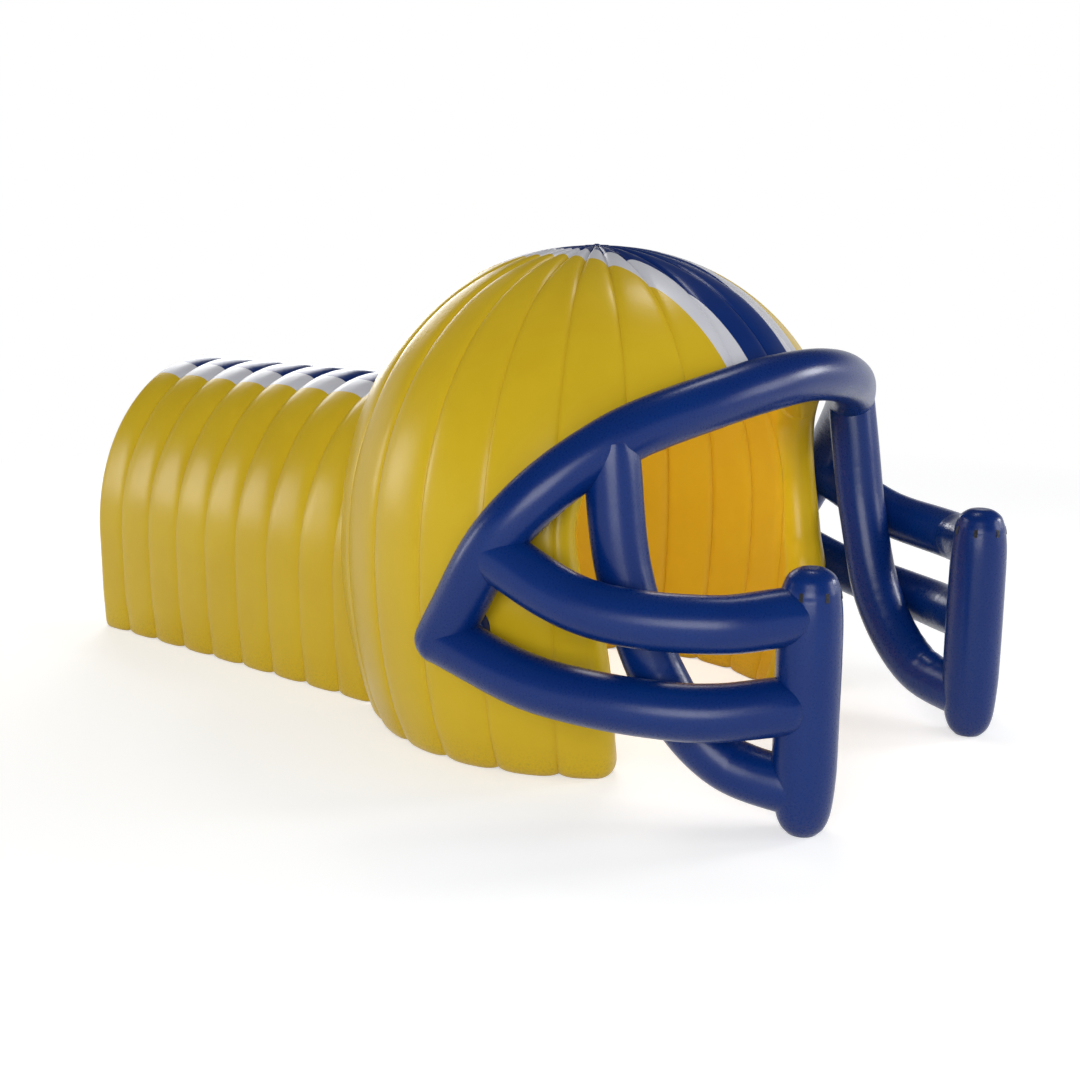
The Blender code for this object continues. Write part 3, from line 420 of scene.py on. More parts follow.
def box_parts(boxes, bevel=0.001):
    """One mesh of bevelled blocks, each given by its middle and size."""
    bm = bmesh.new()
    for centre, size in boxes:
        verts = bmesh.ops.create_cube(bm, size=1)["verts"]
        bmesh.ops.scale(bm, vec=size, verts=verts)
        bmesh.ops.translate(bm, vec=centre, verts=verts)
    if bevel:
        bmesh.ops.bevel(bm, geom=list(bm.edges), offset=bevel, segments=2, affect="EDGES", profile=0.5)
    mesh = bpy.data.meshes.new("blocks")
    bm.to_mesh(mesh)
    bm.free()
    return shaded(mesh, 35)


def add_object(name, data):
    added = bpy.data.objects.new(name, data)
    bpy.context.scene.collection.objects.link(added)
    return added


def add_piece(name, mesh, slot, *materials, replaced=None):
    """Adds a piece that doesn't move, in place of the solid that it replaces."""
    mesh.name = name
    piece = add_object(name, mesh)
    for material in materials:
        mesh.materials.append(material)
    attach(piece, "structure")
    if replaced:
        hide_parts(replaced)
    return piece


# Air chambers in general

def rounding(distance, reach, flat_share):
    left = np.maximum(0, 1 - distance / reach)
    return flat_share + (1 - flat_share) * np.sqrt(1 - left**2)


def column_shares():
    """Shares across a chamber, closer together at its seams."""
    return (1 - np.cos(np.linspace(0, math.pi, CHAMBER_COLUMNS))) / 2


def scallop(share):
    """How far a chamber's lower edge is drawn up towards its seams."""
    return FOOT_LIFT * np.abs(2 * share - 1) ** SCALLOP_POWER


def skin_offsets(cloth, number, share, span, along, near_top, at_foot, full, drift, size=1):
    """How far the outer and the inner skin of a chamber stand from the middle of its wall."""
    falls = zip(*cloth["falls"])
    fall, power = (lerp(lerp(side, top, near_top), foot, at_foot) for side, top, foot in falls)
    drop = np.abs(2 * share - 1) ** power
    seam = np.where(share < 0.5, number, number + 1)
    gathers = lerp(*cloth["gathers"], near_top)
    root = np.sqrt(size)
    pairs = zip((1, -1), cloth["crests"], (fall, cloth["inner_fall"]), cloth["grooves"], cloth["seeds"])
    offsets = []
    for side, crest, fall, groove, seed in pairs:
        sewn = seam_lines(along, span, seam, seed, groove * root, gathers)
        offsets.append(side * full * (cloth["wall"] / 2 + crest * root * (1 - fall * drop) - sewn + drift))
    return offsets


def seam_lines(along, span, seam, seed, groove, gathers):
    """Depth of the groove along the seams and of the short gathers that run into them."""
    wave = ripple(along / PUCKER_LENGTH, seam * 3.0 + seed) * 0.7
    wave += ripple(along * 2.3 / PUCKER_LENGTH, seam * 7.0 + seed) * 0.3
    pucker = PUCKER_DEPTH * gathers * wave * np.exp(-span / PUCKER_REACH) * np.clip(span / 0.015, 0, 1)
    return SEAM_GROOVE * groove * np.exp(-span / SEAM_REACH) + pucker


def print_rows(skins, share, arch, seed):
    """Distance to the middle of the helmet as the stripes are printed: a little off on each chamber."""
    aside = arch * (1 - (2 * share - 1) ** 2) + PRINT_STEP * (hashed(np.array(seed), 5.0) - 0.5)
    return [np.abs(skin[..., 0]) + aside for skin in skins]


def both_faces(rows):
    """The outer row of points, then the inner row back."""
    return np.concatenate((rows[0], rows[1][:, ::-1]), axis=1)


def add_chamber(name, skins, span, prints, cloth, lining, rim=None):
    """Adds the closed skin of a chamber, with its lining on the inner side."""
    marks = {"seam": both_faces([span, span]), "print": both_faces(prints)}
    if rim is not None:
        rim = both_faces([rim, rim])
    mesh = grid_mesh(both_faces(skins), caps=True, inner_from=skins[0].shape[1], rim=rim, marks=marks)
    return add_piece(f"{name}_skin", mesh, "yellow_fabric", cloth, lining, replaced=name)


# Dome

def crest_line(angle):
    """Radius and height of the dome's crests, by the angle on their profile, 0 at the waist."""
    across, up = np.cos(angle), np.sin(angle)
    rise = DOME_HEIGHT - WAIST_HEIGHT
    below = angle < 0
    radius = np.where(below, DOME_RADIUS * across, DOME_RADIUS * np.abs(across) ** SIDE_POWER)
    upper = WAIST_HEIGHT + rise * np.maximum(up, 0) ** RISE_POWER
    return radius, np.where(below, WAIST_HEIGHT + ROOT_DEPTH * up, upper)


def profile_angle(height):
    height = np.asarray(height, float)
    lower = np.arcsin(np.minimum(0, height - WAIST_HEIGHT) / ROOT_DEPTH)
    share = np.maximum(0, height - WAIST_HEIGHT) / (DOME_HEIGHT - WAIST_HEIGHT)
    return np.where(height < WAIST_HEIGHT, lower, np.arcsin(share ** (1 / RISE_POWER)))


def crest_rise(radius):
    return GORE_CREST * np.sqrt(np.abs(radius) / DOME_RADIUS)


def profile_normal(angle):
    step = math.radians(0.5)
    lower = crest_line(np.maximum(0, angle - step))
    upper = crest_line(np.maximum(0, angle) + step)
    across, up = upper[1] - lower[1], lower[0] - upper[0]
    size = np.hypot(across, up)
    return np.where(angle <= 0, 1, across / size), np.where(angle <= 0, 0, up / size)


def dome_point(azimuth, angle, offset):
    """A point this far out from the middle of the dome's wall. Azimuth is 0 at the front."""
    radius, height = crest_line(angle)
    across, up = profile_normal(angle)
    forward = np.maximum(0, np.cos(azimuth)) ** 2
    swell = FRONT_SWELL_SHARE * forward * np.clip(angle / math.radians(45), 0, 1)
    depth = offset - GORE_WALL / 2 - crest_rise(radius)
    radius = radius * (1 + swell) + across * depth
    return to_points(radius * np.sin(azimuth), -radius * np.cos(azimuth), height + up * depth)


FACE_MARKS = [(math.radians(degrees), share * FACE_HEIGHT) for degrees, share in FACE_EDGE_SHARES]
FACE_EDGE = smooth_path(FACE_MARKS, 12)
FACE_EDGE_POINTS = dome_point(FACE_EDGE[:, 0], profile_angle(FACE_EDGE[:, 1]), 0)
WIDEST = int(np.argmax(FACE_EDGE[:, 0]))


def edge_distance(points):
    """Distance along the wall's middle from the edge of the face opening."""
    start, end = FACE_EDGE_POINTS[:-1], FACE_EDGE_POINTS[1:]
    run = end - start
    flat = points.reshape(-1, 1, 3)
    share = np.clip(((flat - start) * run).sum(-1) / (run * run).sum(-1), 0, 1)
    foot = start + run * share[..., None]
    return np.linalg.norm(flat - foot, axis=-1).min(1).reshape(points.shape[:-1])


def gore_grid(number):
    """Azimuths and profile angles over gore `number` from the front centre."""
    first, second = number * GORE_STEP, (number + 1) * GORE_STEP
    columns = column_shares()
    if second <= FACE_EDGE[0][0]:
        azimuth = np.tile(lerp(first, second, columns), (FACE_GORE_ROWS, 1))
        upper_edge = FACE_EDGE[:WIDEST:-1]
        start = profile_angle(np.interp(azimuth[0], upper_edge[:, 0], upper_edge[:, 1]))
        rise = np.linspace(0, 1, FACE_GORE_ROWS)[:, None] ** 1.5
        return azimuth, lerp(start[None, :], CROWN_ANGLE, rise)
    on_tunnel = number >= GORES_A_SIDE - 2
    heights = np.array([REAR_GORE_FOOT] if on_tunnel else [*FOOT_HEIGHTS, GROUND_ROUND])
    start = float(profile_angle(heights[-1]))
    angles = np.linspace(start, CROWN_ANGLE, SIDE_GORE_ROWS)[1:]
    angles = np.concatenate((profile_angle(heights), angles))
    height = crest_line(angles)[1]
    left = np.full(len(angles), first)
    if first < FACE_EDGE[WIDEST][0]:
        beside_face = np.maximum(first, np.interp(height, FACE_EDGE[:, 1], FACE_EDGE[:, 0]))
        left = np.where(height > FACE_HEIGHT, first, beside_face)
    azimuth = lerp(left[:, None], second, columns[None, :])
    return azimuth, np.tile(angles[:, None], (1, len(columns)))


def gore_skins(number):
    """Outer and inner rows of points over a gore, its shares across and the distances to its seams
    and to the face opening."""
    first, second = number * GORE_STEP, (number + 1) * GORE_STEP
    azimuth, angle = gore_grid(number)
    middle = dome_point(azimuth, angle, 0)
    up = middle[..., 2]
    radius = crest_line(angle)[0]
    size = radius / DOME_RADIUS
    edge = edge_distance(middle)
    full = rounding(edge, EDGE_ROUND, EDGE_FLAT_SHARE) * rounding(up, GROUND_ROUND, GROUND_FLAT_SHARE)
    share = (azimuth - first) / (second - first)
    steps = np.linalg.norm(np.diff(middle, axis=0, prepend=middle[:1]), axis=-1)
    along = np.cumsum(steps.mean(1))[:, None] * np.ones_like(share)
    span = np.minimum(share, 1 - share) * GORE_STEP * radius
    near_crown = 1 - smooth_step(size, *NEAR_CROWN)
    at_foot = 1 - smooth_step(up, 0.0, GORE_FOOT_REACH)
    drift = WAVE_DEPTH * waves(along / WAVE_LENGTH, azimuth * 3.4, 2.0) * size
    corner = np.clip(1 - edge / FOOT_CORNER, 0, 1)
    lift = scallop(share) + 0.8 * FOOT_CORNER * (1 - np.sqrt(1 - corner**2))
    outs = skin_offsets(GORE_CLOTH, number, share, span, along, near_crown, at_foot, full, drift, size)
    skins = [dome_point(azimuth, angle, out) for out in outs]
    for skin in skins:
        skin[..., 2] += lift * at_foot
    return skins, share, span, edge


def make_gore(number, side, cloth, lining, way):
    """One gore of the dome. The rear ones are cut to the way through the tunnel."""
    skins, share, span, edge = gore_skins(number)
    prints = print_rows(skins, share, PRINT_ARCH, float(number))
    for skin in skins:
        skin[..., 0] *= -1 if side == "right" else 1
        skin[..., 1] += SHIFT
    name = f"gore_{side}_{number + 1:02d}"
    piece = add_chamber(name, skins, span, prints, cloth, lining, edge < RIM_WIDTH)
    if number >= GORES_A_SIDE - 3:
        carve(piece, way)


def make_crown(cloth):
    """Gathered cap where the points of all gores are sewn together."""
    turn = circle(GORE_COUNT * 8)
    rings = []
    for radius in CROWN_RINGS:
        share = max(radius, CROWN_FLAT_RADIUS) / DOME_RADIUS
        height = crest_line(np.arccos(share ** (1 / SIDE_POWER)))[1]
        fold = np.abs(np.cos(turn * GORE_COUNT / 2)) - 0.6
        fold = CROWN_FOLD * min(1, radius / CROWN_FOLD_START) * fold
        tie = CROWN_TIE * math.exp(-((radius - CROWN_TIE_RADIUS) / CROWN_TIE_WIDTH) ** 2)
        level = height + fold + tie - (CROWN_HEM if radius > CROWN_HEM_RADIUS else 0)
        rings.append(round_points(radius, turn, level) + (0, SHIFT, 0))
    add_piece("crown_cap", closed_skin(rings), "blue_fabric", cloth, replaced="crown_plug")


# Tunnel

def arch_line(steps):
    """Points over the tunnel's crest from one foot to the other, and their ways out."""
    half = TUNNEL_HALF_WIDTH
    rise = TUNNEL_HEIGHT - LEG_HEIGHT
    heights = np.concatenate((FOOT_HEIGHTS, np.linspace(GROUND_ROUND, LEG_HEIGHT, steps // 4)))
    turn = np.linspace(0, math.pi, steps)[1:-1]
    leg = np.stack((np.full(len(heights), -half), heights), -1)
    arch = np.stack((-half * np.cos(turn), LEG_HEIGHT + rise * np.sin(turn)), -1)
    normal = np.stack((-np.cos(turn) / half, np.sin(turn) / rise), -1)
    normal /= np.linalg.norm(normal, axis=1, keepdims=True)
    out = np.tile((-1.0, 0.0), (len(heights), 1))
    mirror = (-1, 1)
    return np.concatenate((leg, arch, leg[::-1] * mirror)), np.concatenate((out, normal, out * mirror))


def make_tunnel_way():
    """Solid in the shape of the way through the tunnel, which the rear gores stop at."""
    points, normals = arch_line(60)
    inset = points - normals * RIB_CREST * 1.2
    inset = np.concatenate(([(inset[0][0], -1)], inset, [(inset[-1][0], -1)]))
    rings = [to_points(inset[:, 0], along + SHIFT, inset[:, 1]) for along in (0, 3.5)]
    return add_object("tunnel_way", closed_skin(rings))


def carve(piece, cutter):
    """Cuts the cutter's shape out of the piece."""
    modifier = piece.modifiers.new("cut", "BOOLEAN")
    modifier.operation = "DIFFERENCE"
    modifier.solver = "EXACT"
    modifier.object = cutter
    view = bpy.context.evaluated_depsgraph_get()
    mesh = bpy.data.meshes.new_from_object(piece.evaluated_get(view), depsgraph=view)
    piece.modifiers.clear()
    piece.data = mesh


def make_rib(number, cloth, lining):
    """One rib of the tunnel. The first and the last are rounded at their free ends."""
    points, normals = arch_line(RIB_STEPS)
    share = column_shares()[None, :]
    up = points[:, 1:]
    along = lengths(points)[:, None]
    full = rounding(up, GROUND_ROUND, GROUND_FLAT_SHARE) * np.ones_like(share)
    if number == 0:
        full = full * rounding(share * RIB_PITCH, RIB_END_ROUND, RIB_END_FLAT_SHARE)
    if number == RIB_COUNT - 1:
        full = full * rounding((1 - share) * RIB_PITCH, RIB_END_ROUND, RIB_END_FLAT_SHARE)
    span = np.minimum(share, 1 - share) * RIB_PITCH * np.ones_like(full)
    on_roof = smooth_step(up, *ROOF_HEIGHTS)
    at_foot = 1 - smooth_step(up, *RIB_FOOT_HEIGHTS)
    lift = scallop(share) * (1 - smooth_step(up, 0.0, SCALLOP_REACH))
    drift = 0.7 * WAVE_DEPTH * waves(along / WAVE_LENGTH, (share + number) * 0.8, 8.0)
    outs = skin_offsets(RIB_CLOTH, number, share, span, along, on_roof, at_foot, full, drift)
    middle = points - normals * (RIB_CREST + RIB_WALL / 2)
    place = TUNNEL_START + number * RIB_PITCH + share * RIB_PITCH + SHIFT
    skins = [
        to_points(middle[:, :1] + out * normals[:, :1], place, middle[:, 1:] + out * normals[:, 1:] + lift)
        for out in outs
    ]
    prints = print_rows(skins, share, PRINT_ARCH * 0.3, number + 30.0)
    add_chamber(f"tunnel_rib_{number + 1}", skins, span, prints, cloth, lining)


# Face mask

def mask_point(shares, side, reach=POST_REACH):
    across, forward, up = shares
    return np.array((side * across * MASK_HALF_WIDTH, -forward * reach + SHIFT, up * BROW_HEIGHT))


def even_path(path, cut):
    """The path, its end cut off by this much, at even steps and a little softer, and its lengths."""
    length = lengths(path)
    even = np.linspace(0, length[-1] - cut, max(12, int(length[-1] / 0.016)))
    path = np.stack([np.interp(even, length, path[:, axis]) for axis in range(3)], -1)
    soften = np.exp(-np.linspace(-2, 2, 9) ** 2)
    for axis in range(3):
        padded = np.pad(path[:, axis], 4, mode="reflect", reflect_type="odd")
        path[:, axis] = np.convolve(padded, soften / soften.sum(), "valid")
    return path, even


def ways_out(path, turn):
    """The ways out round a path at each point, turned as little as they can be, and its ways ahead."""
    ahead = np.gradient(path, axis=0)
    ahead /= np.linalg.norm(ahead, axis=1, keepdims=True)
    across = np.cross((0.0, 0.0, 1.0), ahead[0])
    out = []
    for way in ahead:
        across = across - way * across.dot(way)
        across /= np.linalg.norm(across)
        out.append(np.cos(turn)[:, None] * across + np.sin(turn)[:, None] * np.cross(way, across))
    return np.array(out), ahead


def tube_skin(path, radius, seed, domed=False, nose=False):
    """An inflated tube along a path. It is a little uneven, creases on the inner side of its bends
    and gathers at its ends. A nose rounds its last end off."""
    path, even = even_path(path, NOSE_START if nose else 0)
    turn = circle(TUBE_SIDES)
    out, ahead = ways_out(path, turn)
    bend = np.gradient(ahead, even, axis=0)
    inner = np.clip((out * bend[:, None]).sum(-1) * radius * 3, 0, 1)
    along = even[:, None] * np.ones_like(turn)
    uneven = TUBE_WAVE * waves(along / TUBE_WAVE_LENGTH, 1.2 * np.sin(turn) + 4, seed)
    crease = ripple(along / BEND_CREASE_LENGTH + 0.6 * np.sin(turn), seed + 3)
    crease = BEND_CREASE * inner * crease**2
    for reach in (along, even[-1] - along):
        fold = ring_folds(turn, 15, seed + 9, np.exp(-reach / 0.10))
        fold += 0.5 * ring_folds(turn, 31, seed + 19, np.exp(-reach / 0.05))
        crease = crease + END_FOLD * fold
    grid = path[:, None] + out * (radius + uneven - crease)[..., None]
    if domed:
        grid = domed_end(domed_end(grid, path, radius), path, radius, first=True)
    elif nose:
        grid = domed_end(grid, path, NOSE_LENGTH)
    return closed_skin(grid)


def domed_end(grid, path, reach, first=False):
    """Adds a dome that stands out this far to the last or the first of a tube's rings."""
    end, inward = (0, 1) if first else (-1, -2)
    way = (path[end] - path[inward]) * reach
    way /= np.linalg.norm(path[end] - path[inward])
    ring = grid[end] - path[end]
    angles = np.radians(TUBE_END_DEGREES)
    added = [path[end] + ring * math.cos(angle) + way * math.sin(angle) for angle in angles]
    return np.concatenate((added[::-1], grid) if first else (grid, added))


def make_mask(cloth, vent_mesh_and_shade):
    """The brow, and on each side three bars, the post that they meet at and the pad at the dome."""
    half = [mask_point(shares, 1, DOME_RADIUS) for shares in BROW_SHARES]
    other = [mask_point(shares, -1, DOME_RADIUS) for shares in BROW_SHARES[-2::-1]]
    brow = smooth_path(half + other, PATH_STEPS)
    mesh = tube_skin(brow, BAR_RADIUS, 1.0, domed=True)
    add_piece("brow_tube_skin", mesh, "blue_fabric", cloth, replaced="brow_tube")
    for name, side in (("left", 1), ("right", -1)):
        stretch = brow if side > 0 else brow[::-1]
        foot = np.array((side * POST_HALF_SPREAD, -POST_REACH + SHIFT, 0))
        mid_start = stretch[round(MID_BAR_START_SHARE * PATH_STEPS)]
        drop_start = stretch[2 * PATH_STEPS] + (side * DROP_BAR_PROUD, 0, 0)
        bars = (
            ("mid_bar", mid_start, MID_BAR_SHARES, MID_BAR_HEIGHT, MID_BAR_PROUD),
            ("jaw_bar", stretch[0], JAW_BAR_SHARES, JAW_BAR_HEIGHT, JAW_BAR_PROUD),
            ("drop_bar", drop_start, DROP_BAR_SHARES, DROP_BAR_HEIGHT, 0),
        )
        for seed, (bar, begin, shares, height, proud) in enumerate(bars):
            marks = [mask_point(share, side) for share in shares]
            path = smooth_path([begin, *marks, foot + (side * proud, 0, height)], PATH_STEPS)
            mesh = tube_skin(path, BAR_RADIUS, seed * 5.0 + side, nose=proud > 0)
            add_piece(f"{bar}_{name}_skin", mesh, "blue_fabric", cloth, replaced=f"{bar}_{name}")
        make_post(name, foot, cloth)
        make_post_vents(name, foot, vent_mesh_and_shade)
        make_ear_pad(name, side, cloth)


POST_CURVE = smooth_path(np.array(POST_SHARES) * (POST_RADIUS, POST_HEIGHT), 8)


def make_post(name, foot, cloth):
    """Inflated post with a sewn-on cap, gathered under the cap's seam and at its foot."""
    length = lengths(POST_CURVE)
    even = np.linspace(0, length[-1], 150)[:, None]
    radius = np.maximum(np.interp(even, length, POST_CURVE[:, 0]), 0.001)
    height = np.interp(even, length, POST_CURVE[:, 1])
    turn = circle(96)[None, :]
    seed = 7.0 if name == "left" else 23.0
    full = np.clip(radius / POST_RADIUS, 0, 1) ** 2
    below = np.clip(CAP_SEAM_HEIGHT - height, 0, None)
    fold = ring_folds(turn, 26, seed, np.exp(-below / 0.16) * (height < CAP_SEAM_HEIGHT))
    fold = fold + ring_folds(turn, 14, seed + 4, np.exp(-height / 0.10))
    seam = np.exp(-((height - CAP_SEAM_HEIGHT) / POST_SEAM_REACH) ** 2)
    uneven = POST_WAVE * waves(height / TUBE_WAVE_LENGTH, 1.2 * np.sin(turn) + 4, seed)
    radius = radius + full * (uneven - POST_FOLD * fold - POST_SEAM * seam)
    mesh = closed_skin(round_points(radius, turn, height) + foot)
    add_piece(f"post_{name}_skin", mesh, "blue_fabric", cloth, replaced=f"post_{name}")


def make_post_vents(name, foot, vent_mesh_and_shade):
    """Small near-black mesh patches over the air vents, in a ring at the cap's seam. Their darkness is
    partly the dark mesh and partly painted shade of the openings behind it.
    """
    wide, tall = VENT_SIZE
    up = np.linspace(-0.5, 0.5, 7)[:, None] * tall + CAP_SEAM_HEIGHT + VENT_LIFT
    reach = np.interp(up, POST_CURVE[:, 1], POST_CURVE[:, 0])
    across = np.linspace(-0.5, 0.5, 5)[None, :] * wide / POST_RADIUS
    patches = []
    for middle in circle(VENT_COUNT) + math.radians(VENT_START_DEGREES[name]):
        sheets = [round_points(reach + out, middle + across, up) + foot for out in VENT_SHEETS]
        patches.append(grid_mesh(both_faces(sheets), caps=True))
    mesh = one_mesh(patches)
    mesh.shade_flat()
    add_piece(f"post_vents_{name}", mesh, "black_webbing", vent_mesh_and_shade)


def make_ear_pad(name, side, cloth):
    """Stitched round pad between the mask's corner and the dome."""
    azimuth = math.radians(EAR_BOSS_DEGREES)
    angle = float(profile_angle(EAR_BOSS_HEIGHT))
    centre = dome_point(azimuth, angle, GORE_WALL / 2 + GORE_CREST * 0.5)
    turn = circle(72)[None, :]
    share = np.linspace(0, 1, 40)[:, None]
    radius = EAR_BOSS_RADIUS * np.sin(share * math.pi / 2) ** 0.8
    level = EAR_BOSS_PROUD * np.clip(1 - share**4, 0, 1) ** 0.5 + 0.02
    level = np.where(share > 0.97, -0.03, level)
    level = level - PAD_FOLD * ring_folds(turn, 18, 3.0 + side, smooth_step(share, 0.35, 0.9))
    grid = round_points(radius, turn, level) @ facing((side * math.sin(azimuth), -math.cos(azimuth), 0))
    grid = grid + (side * centre[0], centre[1] + SHIFT, centre[2])
    add_piece(f"ear_pad_{name}", closed_skin(grid), "blue_fabric", cloth, replaced=f"ear_boss_{name}")


# Sleeve, strap, zip and tabs

def make_sleeve(cloth):
    """Cloth sleeve from the blower's spigot to the last rib, creased as air leaves it a little slack."""
    low, high, axis = box_of("inflation_sleeve")
    full = (high.z - low.z) / 2
    place = np.linspace(high.x, low.x - SLEEVE_TUCK, 150)[:, None]
    past_neck = high.x - SLEEVE_NECK_LENGTH - place
    turn = circle(96)[None, :]
    radius = lerp(full - SLEEVE_FLARE, full - SLEEVE_SLACK, smooth_step(past_neck, 0, 0.10))
    loose = smooth_step(past_neck, -0.01, 0.04)
    fold = ring_folds(turn, 16, 5.0, np.exp(-(past_neck / 0.05) ** 2))
    creases = ripple(place / 0.028 + 0.8 * np.sin(turn + 1), 12.0) * loose
    slack = waves(place / 0.12, 1.4 * np.sin(turn), 6.0) * loose
    radius = radius - SLEEVE_FOLD * fold - SLEEVE_CREASE * creases + SLEEVE_WAVE * slack
    mesh = closed_skin(to_points(place, axis.y + radius * np.cos(turn), axis.z + radius * np.sin(turn)))
    add_piece("inflation_sleeve_cloth", mesh, "yellow_fabric", cloth, replaced="inflation_sleeve")


def make_strap(webbing, plastic):
    """Webbing strap round the sleeve's neck, its buckle and its hanging tail."""
    low, high, middle = box_of("sleeve_strap")
    axis = box_of("inflation_sleeve")[2]
    x = middle.x
    width = high.x - low.x
    radius = axis.z - low.z
    turn = circle(72)
    rings = []
    for across, out in STRAP_PROFILE:
        ring = radius + out + 0.0006 * np.sin(turn * 5 + across)
        up = axis.z + ring * np.sin(turn)
        rings.append(to_points(x + across * width, axis.y + ring * np.cos(turn), up))
    add_piece("sleeve_strap_band", closed_skin(rings), "black_webbing", webbing, replaced="sleeve_strap")
    base, top = axis.z + radius, high.z
    post = (*BUCKLE_POST, top - base)
    buckle = [((x, axis.y + side * BUCKLE_HALF, (base + top) / 2), post) for side in (-1, 1)]
    buckle.append(((x, axis.y, top - 0.0035), BUCKLE_TOP))
    buckle.append(((x, axis.y - 0.002, base + 0.003), BUCKLE_BAR))
    add_piece("strap_buckle", box_parts(buckle), "black_plastic", plastic)
    tail = [
        ((x, axis.y - 0.018 - step * 0.008, base + 0.0025 - 0.0011 * step**1.6), TAIL_PIECE)
        for step in range(TAIL_PIECES)
    ]
    add_piece("strap_tail", box_parts(tail, 0.0004), "black_webbing", webbing)


def make_zip(webbing, steel):
    """Woven tape with two rows of teeth, between stops."""
    low, high, middle = box_of("zip_tape")
    x, face = middle.x, low.y
    heights = np.linspace(low.z, high.z, 120)
    ring = []
    for edge, way, seed in ((low.x, 1, 3.0), (high.x, -1, 9.0)):
        fray = 0.0012 * ripple(heights / 0.05, seed)
        rows = [to_points(edge + way * (inset + fray), face + depth, heights) for depth, inset in ZIP_SHEETS]
        ring += rows if way > 0 else rows[::-1]
    mesh = closed_skin(np.stack(ring, 1))
    add_piece("zip_tape_cloth", mesh, "black_webbing", webbing, replaced="zip_tape")
    teeth = []
    for number in range(int((high.z - low.z - 2 * ZIP_END) / TOOTH_PITCH)):
        aside = TOOTH_SIDEWAYS if number % 2 else -TOOTH_SIDEWAYS
        teeth.append(((x + aside, face + TOOTH_OUT, low.z + ZIP_END + number * TOOTH_PITCH), TOOTH_SIZE))
    add_piece("zip_teeth", box_parts(teeth, 0.0005), "steel", steel)
    stops = [((x, face + TOOTH_OUT, place), STOP_SIZE) for place in (low.z + 0.0065, high.z - 0.0100)]
    add_piece("zip_stops", box_parts(stops, 0.0010), "steel", steel)
    stitches = [
        ((x + aside, face + 0.0021, low.z + 0.004 + number * STITCH_PITCH), STITCH_SIZE)
        for aside in (-ZIP_SEAM, ZIP_SEAM) for number in range(int((high.z - low.z) / STITCH_PITCH))
    ]
    add_piece("zip_stitches", box_parts(stitches, 0), "black_webbing", webbing)


def make_tab(name, webbing, thread):
    """Webbing folded round the ring's bar and sewn to the rear face."""
    low, high, middle = box_of(f"webbing_tab_{name}")
    x, face, top = middle.x, low.y, high.z
    width = high.x - low.x
    bar_y = middle.y + 0.0005
    bar_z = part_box(f"d_ring_{name}")[1].z - RING_WIRE
    loop = (high.y - low.y) / 2 - 0.0002
    bend = loop - TAB_THICK / 2
    outer = face + TAB_THICK * 1.6
    path = [(outer, top - 0.003), (outer, bar_z + 0.030), (bar_y + 0.001, bar_z + loop)]
    for turn in np.radians(np.linspace(80, -180, 26)):
        path.append((bar_y + bend * math.cos(turn), bar_z + bend * math.sin(turn)))
    path += [(face + TAB_THICK * 0.5, bar_z + 0.012), (face + TAB_THICK * 0.5, top - 0.001)]
    path = smooth_path(path, 3)
    way = np.gradient(path, axis=0)
    way /= np.linalg.norm(way, axis=1, keepdims=True)
    side = np.stack((way[:, 1], -way[:, 0]), -1)
    rings = []
    for place, inset in TAB_EDGES:
        out = side * (TAB_THICK / 2 - inset)
        ring = np.concatenate((path + out, (path - out)[::-1]))
        rings.append(to_points(x + place * width, np.maximum(ring[:, 0], face), ring[:, 1]))
    mesh = shaded(grid_mesh(rings, caps=True), 40)
    add_piece(f"webbing_tab_{name}_folded", mesh, "black_webbing", webbing, replaced=f"webbing_tab_{name}")
    high_row, low_row, half = top - 0.006, bar_z + 0.020, width / 2 - 0.004
    level = face + TAB_THICK * 2.2
    upright, flat, slanted = (THREAD, THREAD, 0.0028), (0.0028, THREAD, THREAD), (0.002, THREAD, 0.002)
    stitches = []
    for share in np.linspace(0, 1, TAB_STITCHES):
        across, up = half * (2 * share - 1), lerp(low_row, high_row, share)
        stitches += [((x + aside, level, up), upright) for aside in (-half, half)]
        stitches += [((x + across, level, row), flat) for row in (high_row, low_row)]
        stitches += [((x + aside, level, up), slanted) for aside in (across, -across)]
    add_piece(f"tab_stitches_{name}", box_parts(stitches, 0), "black_webbing", thread)


# Blower

def scroll_radius(degrees):
    return lerp(SCROLL_START, SCROLL_END, degrees / SCROLL_DEGREES)


def make_scroll_band(plastic):
    """The flanged wall round the fan, with the lips that its two sides are screwed to."""
    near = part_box("blower_housing_motor_side")[0].y
    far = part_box("blower_housing_inlet_side")[1].y
    middle, half = (near + far) / 2, (far - near) / 2 + 0.001
    lips = [(across - half, out) for across, out in SCROLL_LIP] + list(JOINT_LIP)
    profile = np.array(lips + [(-across, out) for across, out in lips[::-1]])
    degrees = np.linspace(0, SCROLL_DEGREES, 136)[:, None]
    turn = np.radians(degrees)
    radius = scroll_radius(degrees) + profile[:, 1]
    along, up = BLOWER_OFFSET - radius * np.cos(turn), FAN_AXIS_HEIGHT + radius * np.sin(turn)
    grid = to_points(along, middle + profile[:, 0], up)
    add_piece("scroll_band", closed_skin(grid), "black_plastic", plastic)


def make_blower_feet(plastic):
    """A plate with two pads under each side of the housing."""
    length, height = STAND_PLATE
    pad_length, wider, pad_height = STAND_PAD
    boxes = []
    for side in ("motor", "inlet"):
        low, high, middle = box_of(f"blower_housing_{side}_side")
        width = high.y - low.y - STAND_INSET
        boxes.append(((BLOWER_OFFSET + STAND_OFFSET, middle.y, height / 2), (length, width, height)))
        pad = (pad_length, width + wider, pad_height)
        boxes += [((BLOWER_OFFSET + aside, middle.y, pad_height / 2), pad) for aside in PAD_OFFSETS]
    add_piece("blower_feet", box_parts(boxes, 0.003), "black_plastic", plastic)


